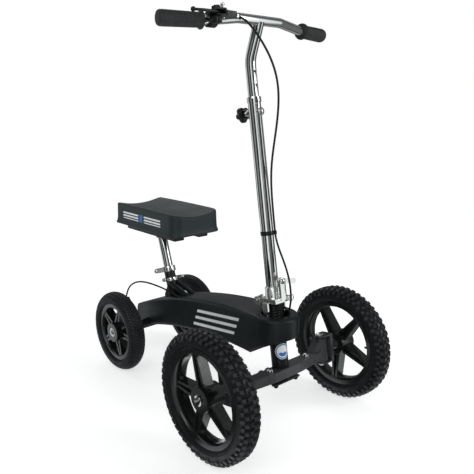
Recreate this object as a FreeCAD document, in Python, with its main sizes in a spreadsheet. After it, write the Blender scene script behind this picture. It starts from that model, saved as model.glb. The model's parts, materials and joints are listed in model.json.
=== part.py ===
import FreeCAD, Part

import math
import os

import Sketcher

# Knee scooter, in millimetres. +X is forward, +Y is the rider's left, +Z is up. The origin is on
# the ground, under the middle of the scooter. Each sub-part is built in the frame of the assembly
# that it belongs to, and then placed on the scooter.

Vector = FreeCAD.Vector
Rotation = FreeCAD.Rotation
Placement = FreeCAD.Placement

doc = FreeCAD.newDocument("knee_scooter")

DIMENSIONS = (
    ("front_axle_x", 255.0, "front axle ahead of the middle"),
    ("wheelbase", 546.0, "front axle to rear axle"),
    ("front_tyre", 155.0, "radius of the 12 inch front tyre"),
    ("rear_tyre", 119.0, "radius of the rear tyre"),
    ("front_half_track", 231.6, "middle plane of a front wheel"),
    ("rear_half_track", 136.0, "middle plane of a rear wheel"),
    ("kingpin_half_track", 153.0, "kingpin from the middle plane"),
    ("rake", 9.0, "degrees that the head axis leans back"),
    ("front_tyre_half", 25.0, "half width of a front tyre"),
    ("rear_tyre_half", 24.5, "half width of a rear tyre"),
    ("tyre_wall", 4.5, "thickness of a tyre"),
    ("front_lip", 115.0, "radius of the front rim's lip"),
    ("front_lip_half", 19.0, "half width of the front rim"),
    ("rear_lip", 86.0, "radius of the rear rim's lip"),
    ("rear_lip_half", 17.0, "half width of the rear rim"),
    ("front_hub", 30.0, "radius of the front hub"),
    ("rear_hub", 28.5, "radius of the rear hub"),
    ("hub_half", 25.0, "half length of a hub"),
    ("spindle", 5.95, "radius of every wheel spindle"),
    ("bearing_bore", 6.0, "bore radius of a wheel bearing"),
    ("bearing_outer", 14.0, "outer radius of a wheel bearing"),
    ("bearing_width", 8.0, "width of a wheel bearing"),
    ("frame_wall", 2.5, "wall of the main frame"),
    ("nose_radius", 57.0, "radius of the frame's nose"),
    ("opening_radius", 36.0, "radius of the opening in the nose"),
    ("head_tube_radius", 21.0, "outside of the head tube"),
    ("head_tube_bore", 17.5, "inside of the head tube"),
    ("steerer_radius", 12.5, "outside of the steerer"),
    ("beam_height", 23.0, "axle beam, top to bottom"),
    ("head_tube_foot", 29.0, "head tube's foot below the top of the axle beam"),
    ("housing_radius", 17.0, "outside of a kingpin housing"),
    ("kingpin_radius", 6.0, "kingpin"),
    ("steer_arm", 60.0, "length of the steering arms"),
    ("column_radius", 15.5, "outside of the column"),
    ("column_bore", 13.0, "inside of the column"),
    ("stem_radius", 12.94, "outside of the stem"),
    ("stem_bore", 10.4, "inside of the stem"),
    ("screw_height", 622.6, "clamp screw above the front hubs"),
    ("screw_pitch", 31.0, "spacing of the stem's holes"),
    ("bar_radius", 11.1, "outside of the handlebar"),
    ("bar_bore", 9.1, "inside of the handlebar"),
    ("bar_height", 822.5, "handlebar above the front hubs"),
    ("bar_reach", 42.2, "handlebar ahead of the head axis"),
    ("grip_radius", 17.5, "outside of a grip"),
    ("grip_length", 104.0, "length of a grip"),
    ("cable_radius", 2.5, "outside of the brake cable"),
    ("pin_height", 171.0, "fold pin above the front hubs"),
    ("pin_back", 32.0, "fold pin behind the head axis"),
    ("seat_tube_x", -189.0, "foot of the seat tube"),
    ("seat_tube_z", 217.0, "height of the seat tube's foot"),
    ("seat_lean", 17.8, "degrees that the seat tube leans back"),
    ("seat_tube_radius", 16.0, "outside of the seat tube"),
    ("seat_tube_bore", 14.0, "inside of the seat tube"),
    ("seat_post_radius", 13.95, "outside of the seat post"),
    ("pad_length", 302.0, "knee pad, front to back"),
    ("pad_half", 79.0, "half width of the knee pad"),
    ("pad_floor", 433.0, "underside of the knee pad"),
    ("pad_height", 66.0, "thickness of the knee pad"),
    ("pad_x", -221.0, "middle of the knee pad"),
    ("disc_radius", 70.0, "brake disc"),
    ("disc_y", -98.0, "middle plane of the brake disc"),
)

size = doc.addObject("Spreadsheet::Sheet", "Size")
for row, (alias, value, note) in enumerate(DIMENSIONS, start=1):
    size.set("A%d" % row, alias)
    size.set("B%d" % row, str(value))
    size.setAlias("B%d" % row, alias)
    size.set("C%d" % row, note)
doc.recompute()


def plain(item):
    """The number that an item stands for."""
    return item.value if isinstance(item, Length) else float(item)


def written(item):
    """The expression that an item stands for."""
    return item.text if isinstance(item, Length) else repr(float(item))


class Length:
    """A size together with the spreadsheet expression that it comes from."""

    def __init__(self, value, text):
        self.value = value
        self.text = text

    def __add__(self, other):
        return Length(self.value + plain(other), "(%s + %s)" % (self.text, written(other)))

    def __radd__(self, other):
        return self + other

    def __sub__(self, other):
        return Length(self.value - plain(other), "(%s - %s)" % (self.text, written(other)))

    def __rsub__(self, other):
        return Length(plain(other) - self.value, "(%s - %s)" % (written(other), self.text))

    def __mul__(self, factor):
        return Length(self.value * plain(factor), "(%s * %s)" % (self.text, written(factor)))

    def __rmul__(self, factor):
        return self * factor

    def __neg__(self):
        return Length(-self.value, "(0 - %s)" % self.text)


def cell(alias):
    """The sheet's size of that name."""
    return Length(float(size.get(alias)), "Size." + alias)


def bind(thing, name, item):
    """Sets a property, bound to the sheet where the item comes from it."""
    if isinstance(item, Length):
        thing.setExpression(name, item.text)
    else:
        setattr(thing, name, item)


# Frames of the assemblies

front_axle_x = cell("front_axle_x")
front_tyre = cell("front_tyre")
rear_tyre = cell("rear_tyre")
rake = cell("rake")
front_half_track = cell("front_half_track")
rear_half_track = cell("rear_half_track")
kingpin_half_track = cell("kingpin_half_track")
rear_axle_x = front_axle_x - cell("wheelbase")

STAND = Placement(Vector(plain(front_axle_x), 0, 0), Rotation())
RAKED = Placement(Vector(plain(front_axle_x), 0, plain(front_tyre)),
                  Rotation(Vector(0, 1, 0), -plain(rake)))
REAR = Placement(Vector(plain(rear_axle_x), 0, plain(rear_tyre)), Rotation())
SEAT = Placement(Vector(plain(cell("seat_tube_x")), 0, plain(cell("seat_tube_z"))),
                 Rotation(Vector(0, 1, 0), -plain(cell("seat_lean"))))

TURNS = {
    "Z": Rotation(),
    "-Z": Rotation(Vector(1, 0, 0), 180),
    "Y": Rotation(Vector(1, 0, 0), -90),
    "-Y": Rotation(Vector(1, 0, 0), 90),
    "X": Rotation(Vector(0, 1, 0), 90),
    "-X": Rotation(Vector(0, 1, 0), -90),
}


def at(x=0, y=0, z=0, axis="Z"):
    """A placement at a point, with the piece's own Z turned to an axis."""
    return Placement(Vector(plain(x), plain(y), plain(z)), TURNS[axis])


def towards(start, end):
    """A placement at a start point whose Z axis points at the end point."""
    return Placement(start, Rotation(Vector(0, 0, 1), end - start))


# Helpers that build features

kept = []


def keep(thing, node, place=Placement()):
    """Names a finished sub-part after its node and sets its place."""
    thing.Label = node
    thing.Placement = place
    kept.append(thing)
    return thing


def new_body():
    return doc.addObject("PartDesign::Body", "Body")


def via_point(start, end, radius):
    """The middle of the arc from start to end. It bulges to the right for a positive radius."""
    chord = end - start
    half = chord.Length / 2
    right = Vector(chord.y, -chord.x, 0).normalize()
    size_of = max(abs(radius), half)
    rise = size_of - math.sqrt(size_of * size_of - half * half)
    return start + chord * 0.5 + right * math.copysign(rise, radius)


def outline(body, plane, corners, lift=0):
    """A closed outline on one of the body's own planes.

    A corner is (x, y), or (x, y, radius) where an arc of that radius leads to it. Every corner
    is held at its place by constraints that follow the sheet.
    """
    sketch = body.newObject("Sketcher::SketchObject", "Sketch")
    planes = {feature.Role: feature for feature in body.Origin.OriginFeatures}
    sketch.AttachmentSupport = (planes[plane + "_Plane"], [""])
    sketch.MapMode = "FlatFace"
    sketch.AttachmentOffset = at(0, 0, lift)
    count = len(corners)
    points = [Vector(plain(corner[0]), plain(corner[1]), 0) for corner in corners]
    ends = []
    for index in range(count):
        start, end = points[index - 1], points[index]
        if len(corners[index]) == 3:
            radius = plain(corners[index][2])
            edge = Part.Arc(start, via_point(start, end, radius), end)
            place = sketch.addGeometry(edge)
            flipped = sketch.getPoint(place, 1).distanceToPoint(start) > 1e-6
            ends.append((place, 2, 1) if flipped else (place, 1, 2))
            lock = sketch.addConstraint(Sketcher.Constraint("Radius", place, abs(radius)))
            if isinstance(corners[index][2], Length):
                sign = "" if radius > 0 else "-1 * "
                sketch.setExpression("Constraints[%d]" % lock, sign + corners[index][2].text)
        else:
            place = sketch.addGeometry(Part.LineSegment(start, end))
            ends.append((place, 1, 2))
    for index in range(count):
        place, _, last = ends[index]
        following, first, _ = ends[(index + 1) % count]
        sketch.addConstraint(Sketcher.Constraint("Coincident", place, last, following, first))
        for kind, axis, item in (("DistanceX", -2, corners[index][0]),
                                 ("DistanceY", -1, corners[index][1])):
            if plain(item) == 0:
                sketch.addConstraint(Sketcher.Constraint("PointOnObject", place, last, axis))
                continue
            lock = sketch.addConstraint(
                Sketcher.Constraint(kind, -1, 1, place, last, plain(item)))
            if isinstance(item, Length):
                sketch.setExpression("Constraints[%d]" % lock, item.text)
    return sketch


def pad(body, plane, corners, length, lift=0, symmetric=True):
    """Adds an extruded outline, on both sides of its plane unless told otherwise."""
    feature = body.newObject("PartDesign::Pad", "Pad")
    feature.Profile = outline(body, plane, corners, lift)
    bind(feature, "Length", length)
    feature.SideType = "Symmetric" if symmetric else "One side"
    body.Tip = feature
    return feature


def pocket(body, plane, corners, length, lift=0):
    """Cuts an extruded outline, on both sides of its plane."""
    feature = body.newObject("PartDesign::Pocket", "Pocket")
    feature.Profile = outline(body, plane, corners, lift)
    bind(feature, "Length", length)
    feature.SideType = "Symmetric"
    body.Tip = feature
    return feature


def revolve(body, corners):
    """Adds an outline of (radius, height) corners turned about the body's Z axis."""
    feature = body.newObject("PartDesign::Revolution", "Revolution")
    sketch = outline(body, "XZ", corners)
    feature.Profile = sketch
    feature.ReferenceAxis = (sketch, ["V_Axis"])
    feature.Angle = 360
    body.Tip = feature
    return feature


def polar(body, features, count):
    """Repeats features around the body's Z axis."""
    pattern = body.newObject("PartDesign::PolarPattern", "PolarPattern")
    pattern.Originals = features
    pattern.Axis = (features[0].Profile[0], ["N_Axis"])
    pattern.Angle = 360
    pattern.Occurrences = count
    body.Tip = pattern
    return pattern


def turned(corners):
    """A body turned from one outline."""
    body = new_body()
    revolve(body, corners)
    return body


def ring(outer, inner, low, high, chamfer=0.6):
    """A ring, or a disc where the inner radius is 0, with chamfered outer edges."""
    corners = [(inner, low), (outer - chamfer, low), (outer, low + chamfer),
               (outer, high - chamfer), (outer - chamfer, high), (inner, high)]
    return turned(corners)


def dome(radius, low, height):
    """A bolt head: a short cylinder under a cap of a sphere."""
    cap = height * 0.7
    sphere = (radius * radius + cap * cap) / (2 * cap)
    return turned([(0, low), (radius, low), (radius, low + height - cap), (0, low + height, sphere)])


def slab(plane, corners, length, lift=0, symmetric=True):
    """A body extruded from one outline."""
    body = new_body()
    pad(body, plane, corners, length, lift, symmetric)
    return body


def block(x_low, x_high, y_low, y_high, z_low, z_high):
    """A box between two corners."""
    box = doc.addObject("Part::Box", "Box")
    bind(box, "Length", x_high - x_low)
    bind(box, "Width", y_high - y_low)
    bind(box, "Height", z_high - z_low)
    box.Placement = at(x_low, y_low, z_low)
    return box


def rod(radius, length, place=Placement()):
    """A plain cylinder that starts at its place."""
    cylinder = doc.addObject("Part::Cylinder", "Cylinder")
    bind(cylinder, "Radius", radius)
    bind(cylinder, "Height", length)
    cylinder.Placement = place
    return cylinder


def placed(thing, place):
    thing.Placement = place
    return thing


def join(*things):
    fused = doc.addObject("Part::MultiFuse", "Fusion")
    fused.Shapes = list(things)
    fused.Refine = True
    return fused


def cut(base, *tools):
    for tool in tools:
        result = doc.addObject("Part::Cut", "Cut")
        result.Base = base
        result.Tool = tool
        result.Refine = True
        base = result
    return base


def group(*things):
    """Separate solids that share a node."""
    compound = doc.addObject("Part::Compound", "Compound")
    compound.Links = list(things)
    return compound


def route_wire(points, radius=None):
    """Straight runs joined by tangent arcs, as large as the runs allow unless a radius is given."""
    edges = []
    radii = []
    start = points[0]
    for before, corner, after in zip(points, points[1:], points[2:]):
        inward = (before - corner).normalize()
        outward = (after - corner).normalize()
        half_turn = (math.pi - inward.getAngle(outward)) / 2
        shorter = min(before.distanceToPoint(corner), after.distanceToPoint(corner))
        bend = radius or 0.45 * shorter / math.tan(half_turn)
        reach = bend * math.tan(half_turn)
        first = corner + inward * reach
        last = corner + outward * reach
        inner = (inward + outward).normalize()
        middle = corner + inner * (bend / math.cos(half_turn) - bend)
        edges.append(Part.LineSegment(start, first).toShape())
        edges.append(Part.Arc(first, middle, last).toShape())
        radii.append(bend)
        start = last
    edges.append(Part.LineSegment(start, points[-1]).toShape())
    return Part.Wire(edges), radii


def sweep(wire, radius, points):
    """A round bar of that radius along a wire."""
    path = doc.addObject("Part::Feature", "Path")
    path.Shape = wire
    circle = doc.addObject("Part::Circle", "Circle")
    bind(circle, "Radius", radius)
    circle.Placement = towards(points[0], points[1])
    bar = doc.addObject("Part::Sweep", "Sweep")
    bar.Sections = [circle]
    bar.Spine = (path, [])
    bar.Solid = True
    bar.Frenet = False
    return bar


def cable(node, points, place):
    """A length of the brake cable. Its wire and radii are noted for the printed check."""
    points = [Vector(*point) for point in points]
    wire, radii = route_wire(points)
    bar = keep(sweep(wire, cable_radius, points), node, place)
    cables.append((bar, wire, radii))


cables = []
SIDES = (("right", -1), ("left", 1))
cable_radius = cell("cable_radius")

# Wheels


def tyre(radius, half, lip, lip_half):
    """An open rubber carcass whose section is part of a ring."""
    wall = cell("tyre_wall")
    middle = radius - half
    cosine, sine = math.cos(math.radians(75)), math.sin(math.radians(75))
    inside = half - wall
    crown, inner_crown = (radius, 0, half), (radius - wall, 0, -inside)
    return turned([
        (lip, lip_half), (lip, lip_half - wall),
        (middle - inside * cosine, inside * sine), inner_crown,
        (middle - inside * cosine, -(inside * sine), -inside),
        (lip, wall - lip_half), (lip, -lip_half),
        (middle - half * cosine, -(half * sine)), crown,
        (middle - half * cosine, half * sine, half)])


def rim(lip, lip_half, hub, spoke_half):
    """A cast rim: barrel, hub and five deep spokes, each a web between two ribs."""
    body = new_body()
    barrel = lip - 11
    pocket_depth = cell("bearing_width")
    hub_half = cell("hub_half")
    bearing = cell("bearing_outer")
    revolve(body, [
        (lip, lip_half), (barrel, lip_half), (barrel - 4, lip_half - 7), (barrel - 4, 7 - lip_half),
        (barrel, -lip_half), (lip, -lip_half), (lip, 2.5 - lip_half), (lip - 8, 4 - lip_half),
        (barrel, 11 - lip_half), (barrel, lip_half - 11), (lip - 8, lip_half - 4),
        (lip, lip_half - 2.5)])
    revolve(body, [
        (hub, -hub_half), (hub, hub_half), (bearing, hub_half), (bearing, hub_half - pocket_depth),
        (bearing - 2, hub_half - pocket_depth), (bearing - 2, pocket_depth - hub_half),
        (bearing, pocket_depth - hub_half), (bearing, -hub_half)])
    inner, outer = hub - 4, barrel - 1.5
    tip_half = spoke_half * 0.45
    web = pad(body, "XY", [(inner, -spoke_half), (outer, -tip_half), (outer, tip_half),
                           (inner, spoke_half)], 16)
    ribs = []
    for sign in (-1, 1):
        ribs.append(pad(body, "XY", [
            (inner, sign * spoke_half - 3.5), (outer, sign * tip_half - 3.5),
            (outer, sign * tip_half + 3.5), (inner, sign * spoke_half + 3.5)], 27))
    polar(body, [web] + ribs, 5)
    return body


def bearings():
    """Two plain rings for the two bearings of a hub."""
    hub_half = cell("hub_half")
    width = cell("bearing_width")
    outer, inner = cell("bearing_outer"), cell("bearing_bore")
    return group(ring(outer, inner, hub_half - width, hub_half),
                 ring(outer, inner, -hub_half, width - hub_half))


SPOKE_TURN = {"right": -27, "left": -44}
for side, sign in SIDES:
    hub_place = RAKED * at(0, sign * front_half_track, 0, "Y")
    spoke_turn = Placement(Vector(), Rotation(Vector(0, 0, 1), SPOKE_TURN[side]))
    keep(tyre(front_tyre, cell("front_tyre_half"), cell("front_lip"), cell("front_lip_half")),
         "tyre_front_" + side, hub_place)
    keep(rim(cell("front_lip"), cell("front_lip_half"), cell("front_hub"), 10.5),
         "rim_front_" + side, hub_place * spoke_turn)
    keep(bearings(), "bearings_front_" + side, hub_place)
    hub_place = REAR * at(0, sign * rear_half_track, 0, "Y")
    keep(tyre(rear_tyre, cell("rear_tyre_half"), cell("rear_lip"), cell("rear_lip_half")),
         "tyre_rear_" + side, hub_place)
    keep(rim(cell("rear_lip"), cell("rear_lip_half"), cell("rear_hub"), 9),
         "rim_rear_" + side, hub_place)
    keep(bearings(), "bearings_rear_" + side, hub_place)

# Rear axle, brake disc and caliper

disc_y = cell("disc_y")
disc_radius = cell("disc_radius")
spindle = cell("spindle")
rear_end = rear_half_track + 25.3
keep(turned([(0, -rear_end), (spindle, -rear_end), (spindle, -88), (15, -88), (15, 88),
             (spindle, 88), (spindle, rear_end), (0, rear_end)]),
     "rear_axle", REAR * at(axis="Y"))
keep(group(placed(dome(7.5, 0, 4), at(0, -rear_end, 0, "-Y")),
           placed(dome(7.5, 0, 4), at(0, rear_end, 0, "Y"))),
     "rear_axle_bolts", REAR)

disc = new_body()
revolve(disc, [(16, disc_y - 13), (24, disc_y - 13), (24, disc_y - 1), (disc_radius, disc_y - 1),
               (disc_radius, disc_y + 1), (16, disc_y + 1)])
vent = pocket(disc, "XY", [(50, -4, 4.4), (62, -4), (62, 4, 4.4), (50, 4)], 400)
polar(disc, [vent], 12)
keep(disc, "brake_disc", REAR * at(axis="Y"))

# The caliper sits above and behind the axle. Its own frame has X along the radius of the disc.
CALIPER = REAR * Placement(Vector(0, 0, 0), Rotation(Vector(0, 1, 0), -120))
caliper_pivot = 66
body_of_caliper = cut(block(46, 84, -109, -80, -21, 21), block(40, 73, -101.6, -94.4, -30, 30))
lug = slab("XZ", [(0, -15, 15.4), (50, -12), (50, 12), (0, 15)], 4)
lug = cut(placed(lug, at(0, -82, 0)), rod(15, 40, at(0, -100, 0, "Y")))
boss = rod(9, 4, at(caliper_pivot, -80, 0, "Y"))
arm_pin = rod(3, 12, at(caliper_pivot, -82, 0, "Y"))
cable_stop = block(78, 94, -84, -68, 2, 14)
keep(join(body_of_caliper, lug, boss, arm_pin, cable_stop), "brake_caliper", CALIPER)
keep(group(block(50, 70, -101.4, -99.1, -14, 14), block(50, 70, -96.9, -94.6, -14, 14)),
     "brake_pads", CALIPER)
arm = slab("XZ", [(-8, 0), (0, -8, 8), (8, 0, 8), (4, 26), (-4, 26, 4.4)], 4)
keep(cut(arm, rod(3.05, 20, at(0, -10, 0, "Y"))), "caliper_arm",
     REAR * at(-33, -73.9, 57.16) * Placement(Vector(), Rotation(Vector(0, 1, 0), -105)))

# Main frame: a hollow beam with an upright round nose

frame_wall = cell("frame_wall")
nose_radius = cell("nose_radius")
NOSE_X = -18
SIDE_LEAN = 2.2


def frame_block(inset):
    """The side outline and the plan of the frame, both moved inwards by an inset."""
    side = slab("XZ", [
        (-604 + inset, 88 + inset), (-57 + inset, 187 + inset, -1445 - inset),
        (-10 + inset, 216 + inset), (20, 232 + inset), (60, 240 + inset),
        (60, 290 - inset), (-25, 290 - inset), (-604 + inset, 166 - inset, 1413.7 - inset)], 130)
    nose = nose_radius - inset
    lean = math.radians(SIDE_LEAN)
    touch_x, touch_y = NOSE_X - nose * math.sin(lean), nose * math.cos(lean)
    tail_x = -604 + inset
    tail_y = touch_y + (tail_x - touch_x) * math.tan(lean)
    plan = slab("XY", [
        (tail_x, -tail_y), (touch_x, -touch_y), (NOSE_X + nose, 0, nose),
        (touch_x, touch_y, nose), (tail_x, tail_y)], 800)
    common = doc.addObject("Part::MultiCommon", "Common")
    common.Shapes = [side, plan]
    common.Refine = True
    return common


def rounded_edges(solid, radius, wanted):
    """Rounds the edges of a solid whose middle point passes a test."""
    doc.recompute()
    fillet = doc.addObject("Part::Fillet", "Fillet")
    fillet.Base = solid
    chosen = []
    for number, edge in enumerate(solid.Shape.Edges, start=1):
        middle = edge.valueAt((edge.FirstParameter + edge.LastParameter) / 2)
        if wanted(edge, middle):
            chosen.append((number, plain(radius), plain(radius)))
    fillet.Edges = chosen
    return fillet


def is_rim_of_frame(edge, middle):
    """True for the long edges between the sides and the top or bottom."""
    box = edge.BoundBox
    return box.XLength > 1 and box.YLength > 0.2 and abs(middle.y) < 59 and edge.Length > 20


outer_frame = rounded_edges(frame_block(0), 9, is_rim_of_frame)
inner_frame = frame_block(frame_wall)
seat_in_stand = STAND.inverse() * SEAT
rake_in_stand = STAND.inverse() * RAKED
rear_in_stand = STAND.inverse() * REAR
CABLE_EXIT = Vector(-372, -30, 240)
CABLE_OUT = Vector(-410, -36, 251)
cable_slot = rod(5, 60, towards(CABLE_EXIT - (CABLE_OUT - CABLE_EXIT) * 0.3, CABLE_OUT))
keep(cut(outer_frame, inner_frame,
         rod(cell("opening_radius"), 60, at(-19.5, 0, 250)),
         placed(rod(cell("head_tube_radius"), 140), rake_in_stand * at(0, 0, -30)),
         placed(rod(cell("seat_tube_radius"), 60), seat_in_stand * at(0, 0, -10)),
         placed(rod(15, 200), rear_in_stand * at(0, -100, 0, "Y")),
         cable_slot),
     "main_frame", STAND)

# Front axle beam, head tube and steering

head_tube_radius = cell("head_tube_radius")
head_tube_bore = cell("head_tube_bore")
steerer_radius = cell("steerer_radius")
beam_height = cell("beam_height")
head_tube_foot = cell("head_tube_foot")
housing_radius = cell("housing_radius")
kingpin_radius = cell("kingpin_radius")
HOUSING_LOW, HOUSING_HIGH = -30, 31
HEAD_TUBE_TOP = 106
steer_arm = cell("steer_arm")
ROD_HALF = 12



def beam_bar(inset, end, low, height):
    """The axle beam's bar, bowed forward in the middle, moved inwards by an inset."""
    rear_middle, rear_end, front_end, front_middle = inset - 14, inset - 15, 13 - inset, 27 - inset
    return slab("XY", [
        (rear_middle, -45), (rear_end, -end), (front_end, -end), (front_middle, -45),
        (front_middle, 45), (front_end, end), (rear_end, end), (rear_middle, 45)][::-1],
        height, low, False)


parts_of_beam = [beam_bar(0, 142, -beam_height, beam_height)]
for side, sign in SIDES:
    parts_of_beam.append(rod(housing_radius, HOUSING_HIGH - HOUSING_LOW,
                             at(0, sign * kingpin_half_track, HOUSING_LOW)))
    parts_of_beam.append(slab("YZ", [
        (sign * 105, -5), (sign * 145, -5), (sign * 145, 26), (sign * 134, 26)][::sign], 24))
bores = [rod(kingpin_radius + 2, 80, at(0, sign * kingpin_half_track, -40)) for _, sign in SIDES]
head_hole = rod(head_tube_radius, 60, at(0, 0, -40))
hollow = beam_bar(2.5, 130, 2.5 - beam_height, beam_height - 5)
keep(cut(join(*parts_of_beam), hollow, head_hole, *bores), "axle_beam", RAKED)

bushes = []
for side, sign in SIDES:
    for low, turn in ((HOUSING_HIGH, "Z"), (HOUSING_LOW, "-Z")):
        bush = turned([(kingpin_radius + 0.05, -14), (kingpin_radius + 2, -14),
                       (kingpin_radius + 2, 0), (housing_radius - 1, 0), (housing_radius - 1, 2),
                       (kingpin_radius + 0.05, 2)])
        bushes.append(placed(bush, at(0, sign * kingpin_half_track, low, turn)))
keep(group(*bushes), "kingpin_bushes", RAKED)

keep(turned([(head_tube_bore, -head_tube_foot), (head_tube_radius, -head_tube_foot),
             (head_tube_radius, HEAD_TUBE_TOP), (head_tube_bore, HEAD_TUBE_TOP)]),
     "head_tube", RAKED)
keep(group(ring(head_tube_bore, steerer_radius + 0.05, 1 - head_tube_foot, 13 - head_tube_foot),
           ring(head_tube_bore, steerer_radius + 0.05, HEAD_TUBE_TOP - 12, HEAD_TUBE_TOP)),
     "headset_bearings", RAKED)

keep(group(*[placed(join(dome(8, 3, 6), rod(9, 3)), at(6, y, 0)) for y in (-42, 88)]),
     "beam_bolts", RAKED)

plate_top = -head_tube_foot - 2
pitman_low = plate_top - 5
pitman = slab("XY", [(-60, -13, 18), (-8, -24), (8, -44), (20, -44), (20, 44), (8, 44), (-8, 24),
                     (-60, 13), (-70, 0, 18)], 5, pitman_low, False)
pitman_studs = [placed(dome(6, 0, 7), at(14, sign * 35, pitman_low, "-Z")) for _, sign in SIDES]
pitman_pins = [rod(4, 16, at(-steer_arm, sign * ROD_HALF, pitman_low)) for _, sign in SIDES]
keep(join(pitman, *(pitman_studs + pitman_pins)), "pitman_arm", RAKED)

pin_height = cell("pin_height")
pin_back = cell("pin_back")
YOKE_LOW, YOKE_TOP = 166, 171.5
keep(turned([(0, plate_top), (steerer_radius, plate_top), (steerer_radius, 116),
             (8, 118), (8, 164), (0, 164)]), "steerer", RAKED)

# The yoke: a crossbar on the steerer, two legs, and the lower plate of the fold with its cheeks
crossbar = block(-9, 9, -32, 32, 108.5, 114.5)
crown = rod(18, 6, at(0, 0, 108.5))
legs = []
for side, sign in SIDES:
    legs.append(slab("XZ", [(-4, 108.5), (4, 108.5), (4, 138), (9, 146), (9, 167), (-9, 167),
                            (-9, 146), (-4, 138)], 5))
    legs[-1].Placement = at(0, sign * 29.5, 0)
lower_plate = block(-22, 34, -28, 28, YOKE_LOW, YOKE_TOP)
cheeks = []
for side, sign in SIDES:
    cheek = slab("XZ", [(-20, 158), (-20, 170), (-22, 176), (-32, 181, 22), (-42, 171, 10.5),
                        (-34, 160, 12)], 5)
    cheeks.append(placed(cheek, at(0, sign * 25.5, 0)))
pin_place = at(-pin_back, -30, pin_height, "Y")
keep(cut(join(crossbar, crown, lower_plate, *(legs + cheeks)),
         rod(4, 60, pin_place), rod(steerer_radius, 20, at(0, 0, 104))),
     "steering_yoke", RAKED)
boot_corners = [(13, 117)]
for step in range(7):
    low = 117 + step * 6.6
    boot_corners += [(17, low), (19, low + 2.2), (19, low + 4.4), (17, low + 6.6)][1 if step else 0:]
keep(turned(boot_corners + [(13, 163.2)]), "steering_boot", RAKED)
keep(join(rod(3.95, 62, at(-pin_back, -31, pin_height, "Y")),
          rod(6, 2.5, at(-pin_back, -33.5, pin_height, "Y")),
          rod(6, 2.5, at(-pin_back, 31, pin_height, "Y"))), "fold_pin", RAKED)

# Knuckles, their fasteners and the tie rods

spindle_end = front_half_track + 27.3
shoulder_end = front_half_track - kingpin_half_track - cell("hub_half") - 0.2
for side, sign in SIDES:
    outwards = "Y" if sign > 0 else "-Y"
    pivot = RAKED * at(0, sign * kingpin_half_track, 0)
    cheek = [(-17, 0, -17.4 * sign), (-17, 31 * sign), (17, 31 * sign), (17, 0)]
    upper = slab("XY", cheek, 5, HOUSING_HIGH + 2.3, False)
    lower = slab("XY", cheek, 5, HOUSING_LOW - 7.3, False)
    steer = slab("XY", [(-steer_arm, sign * ROD_HALF - 9, 9.4), (-5, -16), (-5, 16),
                        (-steer_arm, sign * ROD_HALF + 9)],
                 5, HOUSING_LOW - 7.3, False)
    web = block(-17, 17, 22 if sign > 0 else -31, 31 if sign > 0 else -22,
                HOUSING_LOW - 7.3, HOUSING_HIGH + 7.3)
    stub = rod(spindle, spindle_end - kingpin_half_track - 26, at(0, sign * 26, 0, outwards))
    shoulder = rod(10, shoulder_end - 30, at(0, sign * 30, 0, outwards))
    tie_pin = rod(4, 16, at(-steer_arm, sign * ROD_HALF, HOUSING_LOW - 7.3))
    keep(cut(join(upper, lower, steer, web, stub, shoulder, tie_pin),
             rod(kingpin_radius, 100, at(0, 0, -50))),
         "knuckle_" + side, pivot)
    bolt = turned([(0, -42), (kingpin_radius, -42), (kingpin_radius, 38.3), (0, 38.3)])
    head = placed(dome(11, 0, 7), at(0, 0, HOUSING_HIGH + 7.3))
    nut = placed(dome(10, 0, 7), at(0, 0, HOUSING_LOW - 7.3, "-Z"))
    cap_place = at(0, sign * (spindle_end - kingpin_half_track), 0, outwards)
    keep(group(join(bolt, head, nut), placed(dome(12.5, 0, 6.6), cap_place)),
         "fasteners_" + side, pivot)
    eye = plain(plate_top) + 0.3
    ends = [(-steer_arm, sign * ROD_HALF), (-steer_arm, sign * (kingpin_half_track + ROD_HALF))]
    link = rod(4.5, kingpin_half_track, at(-steer_arm, sign * ROD_HALF, eye + 4, outwards))
    eyes = [rod(8, 8, at(x, y, eye)) for x, y in ends]
    holes = [rod(4.05, 20, at(x, y, eye - 5)) for x, y in ends]
    keep(cut(join(link, *eyes), *holes), "tie_rod_" + side, RAKED)

# Folding column

BASE_LOW, BASE_TOP = 172, 177.5
column_radius = cell("column_radius")
column_bore = cell("column_bore")
screw_height = cell("screw_height")
COLUMN_TOP = 658
upper_plate = block(-18.8, 34, -28, 28, BASE_LOW, BASE_TOP)
plate_tongue = block(-23.6, -18, -21, 21, BASE_LOW, BASE_TOP)
ears = []
for sign in (-1, 1):
    ear = slab("XZ", [(-20, BASE_LOW), (-20, 186), (-32, 180.5), (-41.5, 171, 9.5), (-32, 161.5, 9.5),
                      (-23.6, 166.6, 9.5), (-23.6, BASE_LOW)], 6)
    ears.append(placed(ear, at(0, sign * 18, 0)))
socket = turned([(column_radius, BASE_TOP - 1), (19.5, BASE_TOP - 1), (19.5, 200), (17.5, 203),
                 (column_radius, 203)])
foot = rod(17, BASE_TOP - BASE_LOW, at(0, 0, BASE_LOW))
POST_BACK, POST_FRONT = 30.4, 37
LATCH_Z = 218
latch_post = block(POST_BACK, POST_FRONT, -9, 9, BASE_LOW, LATCH_Z)
latch_eye = rod(9, POST_FRONT - POST_BACK, at(POST_BACK, 0, LATCH_Z, "X"))
keep(cut(join(upper_plate, plate_tongue, foot, socket, latch_post, latch_eye, *ears),
         rod(4.05, 60, pin_place), rod(3.05, 40, at(20, 0, LATCH_Z, "X")),
         rod(column_radius, 40, at(0, 0, BASE_TOP))),
     "column_base", RAKED)
latch_blade = slab("YZ", [(0, -6), (44, -15), (54, -10, 7), (48, -3, 6), (0, 6)], 4, 27)
keep(join(rod(8, 6, at(24, 0, LATCH_Z, "X")), placed(latch_blade, at(0, 0, LATCH_Z)),
          rod(3, 15, at(24, 0, LATCH_Z, "X")),
          placed(dome(7, 0, 4.7), at(POST_FRONT + 0.3, 0, LATCH_Z, "X"))),
     "latch_lever", RAKED)

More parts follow.
